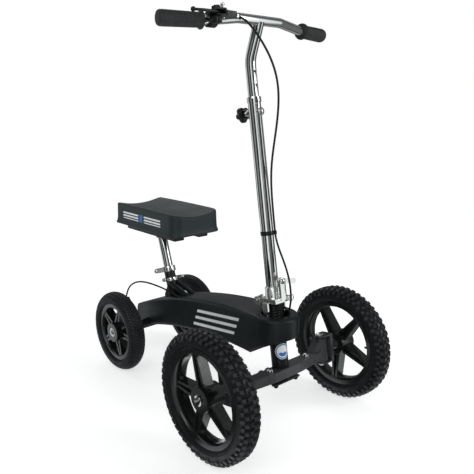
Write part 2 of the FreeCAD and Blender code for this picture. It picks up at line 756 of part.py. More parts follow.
tube = turned([(column_bore, BASE_TOP), (column_radius, BASE_TOP), (column_radius, COLUMN_TOP),
               (column_bore, COLUMN_TOP)])
collar = turned([(column_radius, COLUMN_TOP - 12), (column_radius + 1.6, COLUMN_TOP - 12),
                 (column_radius + 1.6, COLUMN_TOP), (column_radius, COLUMN_TOP)])
screw_boss = cut(rod(9.5, 16, at(-29.5, 0, screw_height, "X")),
                 rod(column_radius - 0.5, 60, at(0, 0, screw_height - 30)))
cap_boss = cut(rod(8, 6, at(13, 0, screw_height, "X")),
               rod(column_radius - 0.5, 60, at(0, 0, screw_height - 30)))
keep(cut(join(tube, collar, screw_boss, cap_boss), rod(4, 60, at(-40, 0, screw_height, "X"))),
     "column_tube", RAKED)
screw = rod(3.95, 34, at(-47.2, 0, screw_height, "X"))
screw_cap = join(dome(9.5, 0, 7), rod(3.95, 5.8, at(0, 0, -5.8)))
keep(group(screw, placed(screw_cap, at(19, 0, screw_height, "X"))), "height_screw", RAKED)
knob = new_body()
revolve(knob, [(4, -32), (9, -32), (11, -36), (19, -37), (19, -50), (16, -54), (0, -54), (0, -48),
               (4, -48)])
keep(knob, "star_knob", RAKED * at(0, 0, screw_height, "X"))

STRAP_Z = 334
STRAP_X, STRAP_Y = 13.6, 13.2
strap = new_body()
revolve(strap, [(column_radius, STRAP_Z - 5), (column_radius + 1.2, STRAP_Z - 5),
                (column_radius + 1.2, STRAP_Z + 5), (column_radius, STRAP_Z + 5)])
strap_loop = rod(cable_radius + 1.9, 10, at(STRAP_X, STRAP_Y, STRAP_Z - 5))
keep(cut(join(strap, strap_loop), rod(column_radius, 40, at(0, 0, STRAP_Z - 20)),
         rod(cable_radius + 0.3, 40, at(STRAP_X, STRAP_Y, STRAP_Z - 20))),
     "cable_strap", RAKED)

# Stem, handlebar and grips

stem_radius = cell("stem_radius")
bar_radius = cell("bar_radius")
bar_bore = cell("bar_bore")
bar_height = plain(cell("bar_height"))
bar_reach = plain(cell("bar_reach"))
STEM_FOOT = 420
STEM_BEND = 743
stem_points = [Vector(0, 0, STEM_FOOT), Vector(0, 0, STEM_BEND), Vector(bar_reach, 0, bar_height)]
stem_wire, _ = route_wire(stem_points, 60)
stem = cut(sweep(stem_wire, stem_radius, stem_points),
           sweep(stem_wire, cell("stem_bore"), stem_points),
           rod(bar_radius, 100, at(bar_reach, -50, bar_height, "Y")))
holes = [rod(3, 20, at(5, 0, screw_height + cell("screw_pitch") * step, "X"))
         for step in (-3, -2, -1, 1, 2, 3)]
keep(cut(stem, *holes), "stem_tube", RAKED)

BAR_END = 253
bar_points = [Vector(8.2, -BAR_END, 815), Vector(28, -152, 813.7), Vector(bar_reach, -66, bar_height),
              Vector(bar_reach, 66, bar_height), Vector(28, 152, 813.7), Vector(8.2, BAR_END, 815)]
bar_wire, _ = route_wire(bar_points, 60)
keep(cut(sweep(bar_wire, bar_radius, bar_points), sweep(bar_wire, bar_bore, bar_points)),
     "handlebar", RAKED)
grip_radius = cell("grip_radius")
grip_length = cell("grip_length")
for side, sign in SIDES:
    end = Vector(8.2, sign * BAR_END, 815)
    inward = Vector(28, sign * 152, 813.7)
    grip = turned([(bar_radius, 0), (bar_radius, grip_length - 6), (grip_radius + 2, grip_length - 6),
                   (grip_radius + 2, grip_length - 9), (grip_radius - 1.5, grip_length - 12),
                   (grip_radius, grip_length * 0.5), (grip_radius - 1, 4), (grip_radius - 3.5, -2),
                   (0, -2), (0, 0)][::-1])
    keep(grip, "grip_" + side, RAKED * towards(end, inward))

# Brake lever set on the right

PERCH_Y = -133
perch_x, perch_z = 31.2, 815.7
clamp = placed(rod(16.5, 18), at(perch_x, PERCH_Y - 9, perch_z, "Y"))
barrel = slab("XY", [(38, -146), (72, -148), (76, -126), (64, -112), (64, -86), (54, -86),
                     (48, -112), (36, -122)], 14, 822, True)
adjuster = rod(6, 14, at(57, -90, 821, "Y"))
lever_slot = block(46, 90, -160, -127, 816.5, 825.5)
pin_hole = rod(3.1, 30, at(56, -118, 812))
bar_hole = sweep(bar_wire, bar_radius, bar_points)
pivot_hole = rod(3, 30, at(58, -138, 808))
keep(cut(join(clamp, barrel, adjuster), lever_slot, pin_hole, pivot_hole, bar_hole),
     "brake_perch", RAKED)
keep(join(placed(ring(10, 0, 0, 8, 2), at(58, -138, 829.2)),
          placed(ring(10, 0, 0, 14, 2.5), at(58, -138, 814.8, "-Z")),
          rod(3, 16, at(58, -138, 814))),
     "perch_knobs", RAKED)
lever = join(slab("XY", [(52, -130), (70, -130), (72, -138), (72, -200), (64, -206), (62, -196),
                         (62, -150), (52, -140)], 6, 821, True),
             placed(turned([(0, -5), (5, 0, 5), (0, 5, 5)]), at(66, -206, 821)))
keep(cut(lever, rod(3.05, 20, at(58, -138, 812))), "brake_lever", RAKED)
keep(turned([(0, 813), (2.9, 813), (2.9, 840), (4.5, 840), (4.5, 844), (3.5, 845), (0, 845)]),
     "parking_pin", RAKED * at(56, -118, 0))

# Seat tube, post and knee pad

seat_tube_radius = cell("seat_tube_radius")
seat_tube_bore = cell("seat_tube_bore")
post_radius = cell("seat_post_radius")
tube = turned([(seat_tube_bore, -10), (seat_tube_radius, -10), (seat_tube_radius, 99),
               (seat_tube_bore, 99)])
STRUT_HIGH, STRUT_FOOT = 54, -4
struts = [rod(6.5, 120, towards(Vector(4, sign * 12, STRUT_HIGH), Vector(92, sign * 12, STRUT_FOOT)))
          for _, sign in SIDES]
strut_web = slab("XZ", [(0, -10), (80, -10), (80, 3), (14, 46), (0, 46)], 4)
back_web = slab("XZ", [(-48, -10), (0, -10), (0, 50), (-15, 50), (-47, 16)], 6)
frame_gap = placed(frame_block(-0.3), SEAT.inverse() * STAND)
braces = cut(join(strut_web, back_web, *struts), frame_gap, rod(40, 60, at(0, 0, 53.7)))
screw_turn = Placement(Vector(), Rotation(Vector(0, 0, 1), 45))
SCREW_Z = 91
screw_hole = placed(rod(3, 60), screw_turn * at(-72, 0, SCREW_Z, "X"))
keep(cut(join(tube, braces), rod(seat_tube_bore, 140, at(0, 0, -20)), screw_hole),
     "seat_tube", SEAT)

# An upper collar with a radial screw, and a lower split clamp with a quick-release lever
collar = turned([(seat_tube_radius, 83), (20, 83), (20, 99), (seat_tube_radius, 99)])
screw_block = placed(block(0, 19, 0, 16, 0, 15), screw_turn * at(-36, -8, 83.5))
collar = cut(join(collar, screw_block), rod(seat_tube_radius, 60, at(0, 0, 70)), screw_hole)
clamp = turned([(seat_tube_radius, 54), (19.5, 54), (19.5, 64), (seat_tube_radius, 64)])
clamp = cut(join(clamp, block(-30, -17, -8, 8, 54, 66)), rod(seat_tube_radius, 60, at(0, 0, 40)),
            block(-40, -10, -1.2, 1.2, 40, 80), rod(3, 60, at(-25, -30, 60, "Y")))
keep(group(collar, clamp), "seat_clamp", SEAT)
collar_screw = join(rod(2.95, 21.7, at(-36, 0, SCREW_Z, "X")),
                    placed(dome(7, 0, 10), at(-36.2, 0, SCREW_Z, "-X")),
                    rod(2.95, 2, at(-37, 0, SCREW_Z, "X")))
clamp_bolt = join(rod(2.95, 24.2, at(-25, -16, 60, "Y")), rod(5.5, 6, at(-25, -14.5, 60, "Y")))
keep(group(placed(collar_screw, screw_turn), clamp_bolt), "seat_clamp_bolt", SEAT)
quick = join(rod(6.5, 13, at(-25, 15.5, 55)),
             slab("XY", [(-22, 19), (-8, 22), (19, 24), (25, 29, 5.5), (19, 34, 5.5), (-10, 30),
                         (-26, 22)], 8, 62, True))
keep(quick, "seat_clamp_lever", SEAT)

POST_TOP = 217
post = turned([(11, 12), (post_radius, 12), (post_radius, POST_TOP), (11, POST_TOP)])
pad_floor = cell("pad_floor")
pad_half = cell("pad_half")
pad_x = cell("pad_x")
half_length = cell("pad_length") * 0.5
keep(post, "seat_post", SEAT)

PAD = Placement(Vector(plain(pad_x), 0, plain(pad_floor)), Rotation())
seat_in_pad = PAD.inverse() * SEAT
rail_parts = [block(-126, 120, sign * 42 - 16, sign * 42 + 16, -16, 0) for _, sign in SIDES]
cross = block(-70, 2, -58, 58, -9, 0)
seat_socket = placed(turned([(0, 190), (18, 190), (18, 225), (0, 225)]), seat_in_pad)
above = block(-100, 100, -80, 80, 0, 40)
keep(cut(join(cross, seat_socket, *rail_parts), above,
         placed(rod(post_radius, 60), seat_in_pad * at(0, 0, POST_TOP - 60))),
     "pad_bracket", PAD)
bolts = [placed(dome(6, 0, 5), at(x, y, -16, "-Z")) for x in (-100, 90) for y in (-42, 42)]
keep(group(*bolts), "pad_bolts", PAD)
CORNER = 15
corner_x, corner_y, arc = half_length - CORNER, pad_half - CORNER, CORNER * 1.04
cushion = slab("XY", [
    (-half_length, -corner_y), (-corner_x, -pad_half, arc), (corner_x, -pad_half),
    (half_length, -corner_y, arc), (half_length, corner_y), (corner_x, pad_half, arc),
    (-corner_x, pad_half), (-half_length, corner_y, arc)],
    cell("pad_height"), 0.3, False)
keep(cushion, "knee_cushion", PAD)

# Brake cable, in three lengths that meet end to end

cable("brake_cable_upper", [
    (57, -76, 821), (61, -62, 815), (66, -50, 801), (75, -39, 778), (84, -30, 752),
    (90.5, -22, 725), (93, -15, 698), (91.5, -9.5, 671), (86, -5.5, 642), (76.5, -2, 612),
    (64, 1, 580), (48, 4, 543), (33, 6.5, 505), (22.5, 9, 467), (17, 11.2, 429),
    (14.4, 12.7, 390), (13.5, 13.3, 358), (STRAP_X, STRAP_Y, STRAP_Z)], RAKED)
cable("brake_cable_lower", [
    (STRAP_X, STRAP_Y, STRAP_Z - 1.5), (14.6, 13.3, 319), (18.6, 13.5, 302), (25, 14, 283), (33, 14.4, 262),
    (40, 14.9, 239), (44.3, 15.4, 215), (45, 16, 191), (42.5, 16.4, 169), (37.5, 15, 149),
    (31.5, 11.3, 127.4)], RAKED)
junction = rake_in_stand.multVec(Vector(31, 11, 125.7))
cable("brake_cable_rear", [
    tuple(junction), (12, 13, 262), (8, 22, 243), (-10, 35, 232), (-40, 38, 227),
    (-85, 32, 227), (-143, 22, 225), (-208, 6, 227.5), (-272, -12, 226), (-326, -25, 230),
    tuple(CABLE_EXIT), tuple(CABLE_OUT), (-437, -43, 258), (-463, -53, 264),
    (-491, -62, 267.5), (-520, -69, 266.5), (-548, -74, 258), (-573, -76, 242),
    (-591, -76, 221), (-601, -76, 197)], STAND)

# Checks and export

doc.recompute()
problems = []
for thing in doc.Objects:
    if "Invalid" in thing.State or "Error" in thing.State:
        problems.append("%s (%s) is %s" % (thing.Name, thing.Label, thing.State))
for thing in kept:
    if thing.Shape.isNull() or not thing.Shape.isValid() or not thing.Shape.Solids:
        problems.append("%s has no valid solid" % thing.Label)
if problems:
    raise RuntimeError("\n".join(problems))

section = math.pi * plain(cable_radius) ** 2
for bar, wire, radii in cables:
    print("%s: length %.0f, radii %.0f to %.0f, volume / (section x length) %.4f"
          % (bar.Label, wire.Length, min(radii), max(radii),
             bar.Shape.Volume / (section * wire.Length)))
    print("   radii " + " ".join("%.0f" % radius for radius in radii))

os.makedirs("parts", exist_ok=True)
for thing in kept:
    thing.Shape.exportStep("parts/%s.step" % thing.Label)
print("%d sub-parts, %d solids" % (len(kept), sum(len(thing.Shape.Solids) for thing in kept)))
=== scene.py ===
"""The looks of the knee scooter: studio, materials, and every piece that the CAD frame leaves plain."""

import json
import math

import bmesh
import bpy
from mathutils import Matrix, Vector


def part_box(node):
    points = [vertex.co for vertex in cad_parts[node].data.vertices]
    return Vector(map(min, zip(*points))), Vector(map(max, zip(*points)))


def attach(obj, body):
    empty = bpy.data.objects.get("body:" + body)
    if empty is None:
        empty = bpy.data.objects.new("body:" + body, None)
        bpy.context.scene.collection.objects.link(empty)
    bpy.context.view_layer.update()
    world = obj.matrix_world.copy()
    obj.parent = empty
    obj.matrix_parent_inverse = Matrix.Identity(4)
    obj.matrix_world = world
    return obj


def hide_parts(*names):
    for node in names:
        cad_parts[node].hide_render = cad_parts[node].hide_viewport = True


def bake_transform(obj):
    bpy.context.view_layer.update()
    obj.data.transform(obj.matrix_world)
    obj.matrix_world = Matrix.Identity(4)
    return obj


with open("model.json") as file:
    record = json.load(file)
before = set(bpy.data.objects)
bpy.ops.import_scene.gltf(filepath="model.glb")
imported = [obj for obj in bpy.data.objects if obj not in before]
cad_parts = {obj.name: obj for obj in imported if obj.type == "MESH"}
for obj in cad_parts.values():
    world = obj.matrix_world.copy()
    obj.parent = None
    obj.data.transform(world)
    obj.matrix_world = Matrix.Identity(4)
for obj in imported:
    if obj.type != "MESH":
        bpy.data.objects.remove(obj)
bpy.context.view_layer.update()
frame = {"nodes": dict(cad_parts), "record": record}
nodes = frame["nodes"]
joints = {joint["name"]: joint for joint in frame["record"]["behaviour"]["joints"]}
scene = bpy.context.scene

MM = 0.001
SIDES = (("right", -1), ("left", 1))


def frame_at(origin, axis):
    """A matrix whose Z is the axis, with its Y kept on the scooter's Y. It takes millimetres."""
    up = Vector(axis).normalized()
    side = Vector((0, 1, 0))
    turn = Matrix((side.cross(up), side, up)).transposed().to_4x4()
    return Matrix.Translation(Vector(origin)) @ turn @ Matrix.Scale(MM, 4)


RAKED = frame_at(joints["steering"]["pos_m"], joints["steering"]["axis"])

# Studio

CAMERA_PLACE, CAMERA_AIM = (1.174, -0.961, 0.7945), (0.09255, 0, 0.45587)
LENS_MM, SENSOR_MM, CLIP_END = 43.9, 36, 100
ROOM_STRENGTH = 0.8
FLOOR_REACH, FLOOR_STEPS = 2.2, 64
FLOOR_WHITE, FLOOR_ROUGHNESS, FLOOR_GLOW, FLOOR_MIRROR = 0.97, 0.9, 0.62, 0.9


def put_camera():
    """The view of the scooter from its front right."""
    data = bpy.data.cameras.new("camera")
    data.sensor_width = SENSOR_MM
    data.lens = LENS_MM
    data.clip_end = CLIP_END
    camera = bpy.data.objects.new("camera", data)
    camera.location = CAMERA_PLACE
    camera.rotation_euler = (Vector(CAMERA_AIM) - camera.location).to_track_quat("-Z", "Y").to_euler()
    scene.collection.objects.link(camera)
    scene.camera = camera


def put_lamp(name, place, aim, width, height, power):
    """A rectangular area lamp that faces its aim, in metres and watts."""
    data = bpy.data.lights.new(name, "AREA")
    data.shape = "RECTANGLE"
    data.size, data.size_y = width, height
    data.energy = power
    lamp = bpy.data.objects.new(name, data)
    lamp.location = place
    lamp.rotation_euler = (Vector(aim) - Vector(place)).to_track_quat("-Z", "Y").to_euler()
    scene.collection.objects.link(lamp)


# (place round the room from 0 to 1, brightness) of the upright bands that the chrome shows
BANDS = ((0.0, 0.30), (0.03, 0.30), (0.045, 1.2), (0.08, 1.2), (0.10, 0.14), (0.20, 0.05), (0.22, 0.35),
         (0.27, 0.30), (0.285, 0.02), (0.335, 0.02), (0.355, 1.2), (0.40, 1.2), (0.42, 0.20), (0.50, 0.15),
         (0.515, 0.02), (0.575, 0.02), (0.59, 1.3), (0.63, 1.3), (0.645, 0.22), (0.70, 0.20),
         (0.715, 0.03), (0.74, 0.03), (0.755, 0.45), (0.80, 0.40), (0.815, 0.22), (0.925, 0.26),
         (0.94, 1.0), (0.97, 1.0), (0.985, 0.30), (1.0, 0.30))
BAND_TINT = (0.94, 0.99, 1.0)


def add_bands(tree, direction):
    """The bands as a colour, by the direction in which a point lies."""
    split = tree.nodes.new("ShaderNodeSeparateXYZ")
    tree.links.new(direction, split.inputs[0])
    turn = tree.nodes.new("ShaderNodeMath")
    turn.operation = "ARCTAN2"
    tree.links.new(split.outputs["Y"], turn.inputs[0])
    tree.links.new(split.outputs["X"], turn.inputs[1])
    scaled = tree.nodes.new("ShaderNodeMapRange")
    scaled.inputs["From Min"].default_value = -math.pi
    scaled.inputs["From Max"].default_value = math.pi
    tree.links.new(turn.outputs[0], scaled.inputs["Value"])
    walls = tree.nodes.new("ShaderNodeValToRGB")
    ramp = walls.color_ramp
    while len(ramp.elements) < len(BANDS):
        ramp.elements.new(0.5)
    for element, (place, level) in zip(ramp.elements, BANDS):
        element.position = place
        element.color = [level * part for part in BAND_TINT] + [1]
    tree.links.new(scaled.outputs[0], walls.inputs[0])
    return walls.outputs[0]


def put_world():
    """A room of light and dark upright bands, which the camera sees as plain white."""
    world = bpy.data.worlds.new("studio")
    scene.world = world
    world.use_nodes = True
    tree = world.node_tree
    back = tree.nodes["Background"]
    room = tree.nodes.new("ShaderNodeTexCoord")
    tree.links.new(add_bands(tree, room.outputs["Generated"]), back.inputs["Color"])
    back.inputs["Strength"].default_value = ROOM_STRENGTH
    plain = tree.nodes.new("ShaderNodeBackground")
    plain.inputs["Color"].default_value = (1, 1, 1, 1)
    seen = tree.nodes.new("ShaderNodeLightPath")
    mix = tree.nodes.new("ShaderNodeMixShader")
    tree.links.new(seen.outputs["Is Camera Ray"], mix.inputs[0])
    tree.links.new(back.outputs[0], mix.inputs[1])
    tree.links.new(plain.outputs[0], mix.inputs[2])
    tree.links.new(mix.outputs[0], tree.nodes["World Output"].inputs["Surface"])


def put_floor():
    """A round white floor that takes shadows. The chrome sees the room's bands in it."""
    mesh = bpy.data.meshes.new("floor")
    turns = [2 * math.pi * step / FLOOR_STEPS for step in range(FLOOR_STEPS)]
    rim = [(FLOOR_REACH * math.cos(turn), FLOOR_REACH * math.sin(turn), 0) for turn in turns]
    mesh.from_pydata(rim, [], [range(FLOOR_STEPS)])
    floor = bpy.data.objects.new("floor", mesh)
    scene.collection.objects.link(floor)
    paper = bpy.data.materials.new("paper")
    paper.use_nodes = True
    tree = paper.node_tree
    shader = tree.nodes["Principled BSDF"]
    shader.inputs["Base Color"].default_value = (FLOOR_WHITE, FLOOR_WHITE, FLOOR_WHITE, 1)
    shader.inputs["Roughness"].default_value = FLOOR_ROUGHNESS
    shader.inputs["Specular IOR Level"].default_value = 0.0
    shader.inputs["Emission Color"].default_value = (1, 1, 1, 1)
    shader.inputs["Emission Strength"].default_value = FLOOR_GLOW
    place = tree.nodes.new("ShaderNodeTexCoord")
    mirrored = tree.nodes.new("ShaderNodeEmission")
    tree.links.new(add_bands(tree, place.outputs["Object"]), mirrored.inputs["Color"])
    mirrored.inputs["Strength"].default_value = FLOOR_MIRROR
    seen = tree.nodes.new("ShaderNodeLightPath")
    mix = tree.nodes.new("ShaderNodeMixShader")
    tree.links.new(seen.outputs["Is Glossy Ray"], mix.inputs[0])
    tree.links.new(shader.outputs[0], mix.inputs[1])
    tree.links.new(mirrored.outputs[0], mix.inputs[2])
    tree.links.new(mix.outputs[0], tree.nodes["Material Output"].inputs["Surface"])
    mesh.materials.append(paper)


put_camera()
put_world()
put_floor()
put_lamp("key", (1.2, -2.4, 2.4), (0, 0, 0.4), 1.6, 1.6, 16)
put_lamp("fill", (2.6, 1.6, 1.6), (0, 0, 0.4), 1.0, 1.8, 20)
put_lamp("back", (-2.2, 1.2, 2.4), (0, 0, 0.4), 1.6, 1.0, 8)
scene.view_settings.view_transform = "Standard"

# Materials

NOISE_LOW, NOISE_HIGH = 0.3, 0.7  # nearly all of a noise texture's values lie between these
BLOTCH_DETAIL = 5
SMOOTHEST = 0.02
COAT_ROUGHNESS = 0.2
BRUSH_STRETCH = (1, 0.04, 1)
PATTERNS = {"noise": "ShaderNodeTexNoise", "cells": "ShaderNodeTexVoronoi", "brushed": "ShaderNodeTexNoise"}


def material(name, colour, roughness, metallic, mottle, grain, uneven, coat=0.0, specular=0.5):
    """A surface whose colour and roughness drift over it, with a bump of fine grain.

    mottle is (scale, how much the colour drifts), grain is (pattern, scale, height in millimetres) or None,
    and uneven is how far the roughness drifts each way.
    """
    made = bpy.data.materials.new(name)
    made.use_nodes = True
    tree = made.node_tree
    shader = tree.nodes["Principled BSDF"]
    shader.inputs["Metallic"].default_value = metallic
    shader.inputs["Specular IOR Level"].default_value = specular
    shader.inputs["Coat Weight"].default_value = coat
    shader.inputs["Coat Roughness"].default_value = COAT_ROUGHNESS
    place = tree.nodes.new("ShaderNodeTexCoord")
    scale, drift = mottle
    blotch = tree.nodes.new("ShaderNodeTexNoise")
    blotch.inputs["Scale"].default_value = scale
    blotch.inputs["Detail"].default_value = BLOTCH_DETAIL
    tree.links.new(place.outputs["Object"], blotch.inputs["Vector"])
    tint = tree.nodes.new("ShaderNodeValToRGB")
    tint.color_ramp.elements[0].position = NOISE_LOW
    tint.color_ramp.elements[1].position = NOISE_HIGH
    tint.color_ramp.elements[0].color = [c * (1 - drift) for c in colour] + [1]
    tint.color_ramp.elements[1].color = [min(1, c * (1 + drift)) for c in colour] + [1]
    tree.links.new(blotch.outputs["Fac"], tint.inputs[0])
    tree.links.new(tint.outputs[0], shader.inputs["Base Color"])
    rub = tree.nodes.new("ShaderNodeMapRange")
    rub.inputs["From Min"].default_value = NOISE_LOW
    rub.inputs["From Max"].default_value = NOISE_HIGH
    rub.inputs["To Min"].default_value = max(SMOOTHEST, roughness - uneven)
    rub.inputs["To Max"].default_value = roughness + uneven
    tree.links.new(blotch.outputs["Fac"], rub.inputs["Value"])
    tree.links.new(rub.outputs[0], shader.inputs["Roughness"])
    if grain:
        pattern, grain_scale, height = grain
        fine = tree.nodes.new(PATTERNS[pattern])
        fine.inputs["Scale"].default_value = grain_scale
        if pattern == "brushed":
            stretch = tree.nodes.new("ShaderNodeMapping")
            stretch.inputs["Scale"].default_value = BRUSH_STRETCH
            tree.links.new(place.outputs["Object"], stretch.inputs["Vector"])
            tree.links.new(stretch.outputs[0], fine.inputs["Vector"])
        else:
            tree.links.new(place.outputs["Object"], fine.inputs["Vector"])
        bump = tree.nodes.new("ShaderNodeBump")
        bump.inputs["Strength"].default_value = 1.0
        bump.inputs["Distance"].default_value = height * MM
        tree.links.new(fine.outputs[0], bump.inputs["Height"])
        tree.links.new(bump.outputs[0], shader.inputs["Normal"])
    return made


CHROME = material("chrome", (0.72, 0.72, 0.71), 0.06, 1.0, (30, 0.06), None, 0.03)
PLATED = material("plated", (0.86, 0.86, 0.83), 0.22, 1.0, (60, 0.10), ("noise", 1200, 0.02), 0.08)
FRAME_SKIN = material("frame_skin", (0.010, 0.014, 0.015), 0.38, 0.0, (18, 0.22),
                      ("noise", 900, 0.10), 0.07, specular=0.30)
BEAM_SKIN = material("beam_skin", (0.050, 0.053, 0.056), 0.36, 0.0, (40, 0.2), ("noise", 1200, 0.06), 0.07)
BLACK_STEEL = material("black_steel", (0.010, 0.011, 0.012), 0.32, 0.0, (60, 0.2),
                       ("noise", 1500, 0.05), 0.08, specular=0.35)
BRIGHT_STEEL = material("bright_steel", (0.55, 0.55, 0.56), 0.28, 1.0, (60, 0.15),
                        ("brushed", 900, 0.04), 0.08)
ZINC = material("zinc", (0.62, 0.61, 0.58), 0.26, 1.0, (150, 0.15), ("noise", 900, 0.03), 0.08)
FRONT_RUBBER = material("front_rubber", (0.006, 0.007, 0.008), 0.50, 0.0, (30, 0.30),
                        ("noise", 700, 0.22), 0.10, specular=0.30)
LUG_RUBBER = material("lug_rubber", (0.020, 0.021, 0.024), 0.46, 0.0, (60, 0.35),
                      ("noise", 900, 0.20), 0.10, specular=0.45)
REAR_RUBBER = material("rear_rubber", (0.011, 0.015, 0.016), 0.60, 0.0, (30, 0.25),
                       ("noise", 700, 0.20), 0.10, specular=0.30)
RIM_BLACK = material("rim_black", (0.007, 0.008, 0.008), 0.20, 0.0, (30, 0.2),
                     ("noise", 600, 0.06), 0.05, coat=0.15, specular=0.45)
GRIP_RUBBER = material("grip_rubber", (0.034, 0.035, 0.036), 0.58, 0.0, (90, 0.25),
                       ("cells", 900, 0.18), 0.08, specular=0.35)
BLACK_PLASTIC = material("black_plastic", (0.008, 0.008, 0.009), 0.36, 0.0, (120, 0.2),
                         ("noise", 800, 0.08), 0.08, specular=0.40)
CABLE_SKIN = material("cable_skin", (0.007, 0.007, 0.008), 0.34, 0.0, (200, 0.2),
                      ("noise", 2000, 0.03), 0.06, specular=0.35)
CUSHION_SKIN = material("cushion_skin", (0.022, 0.032, 0.035), 0.46, 0.0, (14, 0.15),
                        ("cells", 420, 0.30), 0.07, specular=0.35)
PALE_INK = material("pale_ink", (0.72, 0.74, 0.74), 0.5, 0.0, (60, 0.06), ("noise", 1500, 0.02), 0.05)
BLUE_INK = material("blue_ink", (0.02, 0.16, 0.48), 0.45, 0.0, (60, 0.08), ("noise", 1500, 0.02), 0.05)
WHITE_INK = material("white_ink", (0.86, 0.88, 0.88), 0.35, 0.0, (60, 0.04), ("noise", 1500, 0.02), 0.05)
PAD_GREY = material("friction_pad", (0.10, 0.09, 0.08), 0.8, 0.0, (300, 0.3), ("noise", 1500, 0.2), 0.08)

NODE_MATERIALS = {
    CHROME: ["column_tube", "stem_tube", "handlebar", "fold_pin", "seat_post", "beam_bolts",
             "rear_axle_bolts", "parking_pin", "fasteners_right", "fasteners_left"],
    PLATED: ["column_base", "steering_yoke", "latch_lever", "seat_clamp", "seat_clamp_bolt",
             "seat_clamp_lever"],
    FRAME_SKIN: ["main_frame", "seat_tube"],
    BEAM_SKIN: ["axle_beam", "knuckle_right", "knuckle_left"],
    BLACK_STEEL: ["head_tube", "pitman_arm", "rear_axle", "brake_caliper", "caliper_arm", "brake_perch",
                  "tie_rod_right", "tie_rod_left", "pad_bracket", "brake_lever"],
    BRIGHT_STEEL: ["steerer", "headset_bearings", "brake_disc", "bearings_front_right", "bearings_front_left",
                   "bearings_rear_right", "bearings_rear_left"],
    ZINC: ["height_screw", "pad_bolts"],
    RIM_BLACK: ["rim_front_right", "rim_front_left", "rim_rear_right", "rim_rear_left"],
    BLACK_PLASTIC: ["cable_strap", "kingpin_bushes", "steering_boot"],
    PAD_GREY: ["brake_pads"],
}
CREASE = 35  # degrees over which an edge counts as hard
WELD_DISTANCE, EDGE_WIDTH = 0.00002, 0.0006


def dress_nodes():
    """Gives every CAD node its material, and a small rounding along its hard edges."""
    for surface, names in NODE_MATERIALS.items():
        for name in names:
            thing = nodes[name]
            thing.data.materials.clear()
            thing.data.materials.append(surface)
            weld = thing.modifiers.new("weld", "WELD")
            weld.merge_threshold = WELD_DISTANCE
            soft = thing.modifiers.new("soft edges", "BEVEL")
            soft.width = EDGE_WIDTH
            soft.segments = 2
            soft.limit_method = "ANGLE"
            soft.angle_limit = math.radians(CREASE)
            soft.harden_normals = False


dress_nodes()

# Helpers that build pieces


def finish_piece(name, build, surface, body, replaced=(), crease=CREASE):
    """Turns a bmesh into a piece that rides on a body, smooth but for edges over the crease angle.

    A piece given None as its body is attached to no body.
    """
    bmesh.ops.recalc_face_normals(build, faces=build.faces)
    for face in build.faces:
        face.smooth = True
    limit = math.radians(crease)
    for edge in build.edges:
        edge.smooth = len(edge.link_faces) == 2 and edge.calc_face_angle(0) < limit
    mesh = bpy.data.meshes.new(name)
    build.to_mesh(mesh)
    build.free()
    mesh.materials.append(surface)
    piece = bpy.data.objects.new(name, mesh)
    scene.collection.objects.link(piece)
    if body:
        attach(piece, body)
    if replaced:
        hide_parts(*replaced)
    return piece


def add_rings(build, rings, capped=True):
    """Joins rings of points into a skin. Without caps on both ends, the last ring joins the first."""
    made = [[build.verts.new(point) for point in ring] for ring in rings]
    count = len(made[0])
    following = made[1:] if capped else made[1:] + made[:1]
    for first, second in zip(made, following):
        for index in range(count):
            follow = (index + 1) % count
            build.faces.new((first[index], first[follow], second[follow], second[index]))
    if capped:
        build.faces.new(made[0][::-1])
        build.faces.new(made[-1])


def circle(radius, height, steps, matrix, shape=None):
    """Points round the matrix's Z at a height. shape scales the radius by angle."""
    points = []
    for step in range(steps):
        angle = 2 * math.pi * step / steps
        reach = radius * (shape(angle) if shape else 1)
        points.append(matrix @ Vector((reach * math.cos(angle), reach * math.sin(angle), height)))
    return points


def add_lathe(build, profile, matrix, steps, shape=None):
    """A solid turned about the matrix's Z from (radius, height) points."""
    add_rings(build, [circle(radius, height, steps, matrix, shape) for radius, height in profile])


# Tyres

# the carcass in millimetres: the radius of its section's middle, that section's rise above and below the
# middle and its half width, then the radius and half width of the rim's lips
FRONT_TYRE = {"middle": 130.0, "crown": 20.0, "root": 15.0, "half": 24.0, "lip": 115.0, "lip_half": 19.0}
REAR_TYRE = {"middle": 95.0, "crown": 22.0, "root": 9.5, "half": 24.0, "lip": 86.0, "lip_half": 17.0}
CARCASS_STEPS = 120
SECTION_ANGLES = range(-140, 141, 7)
RIDGES, RIDGE_HEIGHT = ((98, 108), (117, 122)), 0.7  # between these angles round the section
BEAD_GAP, BEAD_INSET, BEAD_RISE, BEAD_FLARE = 0.3, 1.2, 1.2, 1.0
LUG_ROOT = 1.6  # how deep a tread block starts in the carcass

# (angle round the section, (length around, width across), height, skew, notch) of the tread blocks
FRONT_PITCH, REAR_PITCH = 52, 80
FRONT_ROWS = ((12, (9.6, 9.5), 3.8, 0.3, 0.25), (38, (9.4, 11.0), 6.2, -0.2, 0.2))
FRONT_EDGES = ((58, (8.4, 7.0), 4.0), (62, (8.4, 11.0), 4.0))  # taken in turn round the shoulder
REAR_MIDDLE = (0, (4.8, 6.5), 2.4)
REAR_ROWS = ((20, (4.6, 7.6), 2.4, 0.3), (42, (4.6, 7.6), 2.3, -0.3), (63, (4.2, 7.0), 2.0, 0.2))


def wheel_matrix(centre):
    """Millimetres of a wheel, its Z along the axle, set on the scooter."""
    turn = Matrix.Rotation(math.radians(-90), 4, "X")
    return Matrix.Translation(Vector(centre)) @ turn @ Matrix.Scale(MM, 4)


def section_point(tyre, slant):
    """(radius, height) of the carcass at an angle round its section, 0 at the crown, 90 at the widest."""
    angle = math.radians(slant)
    rise = tyre["crown"] if abs(slant) <= 90 else tyre["root"]
    radius = tyre["middle"] + rise * math.cos(angle)
    reach = abs(math.sin(angle)) ** (1.0 if abs(slant) <= 90 else 0.5)
    return radius, math.copysign(tyre["half"] * reach, slant)


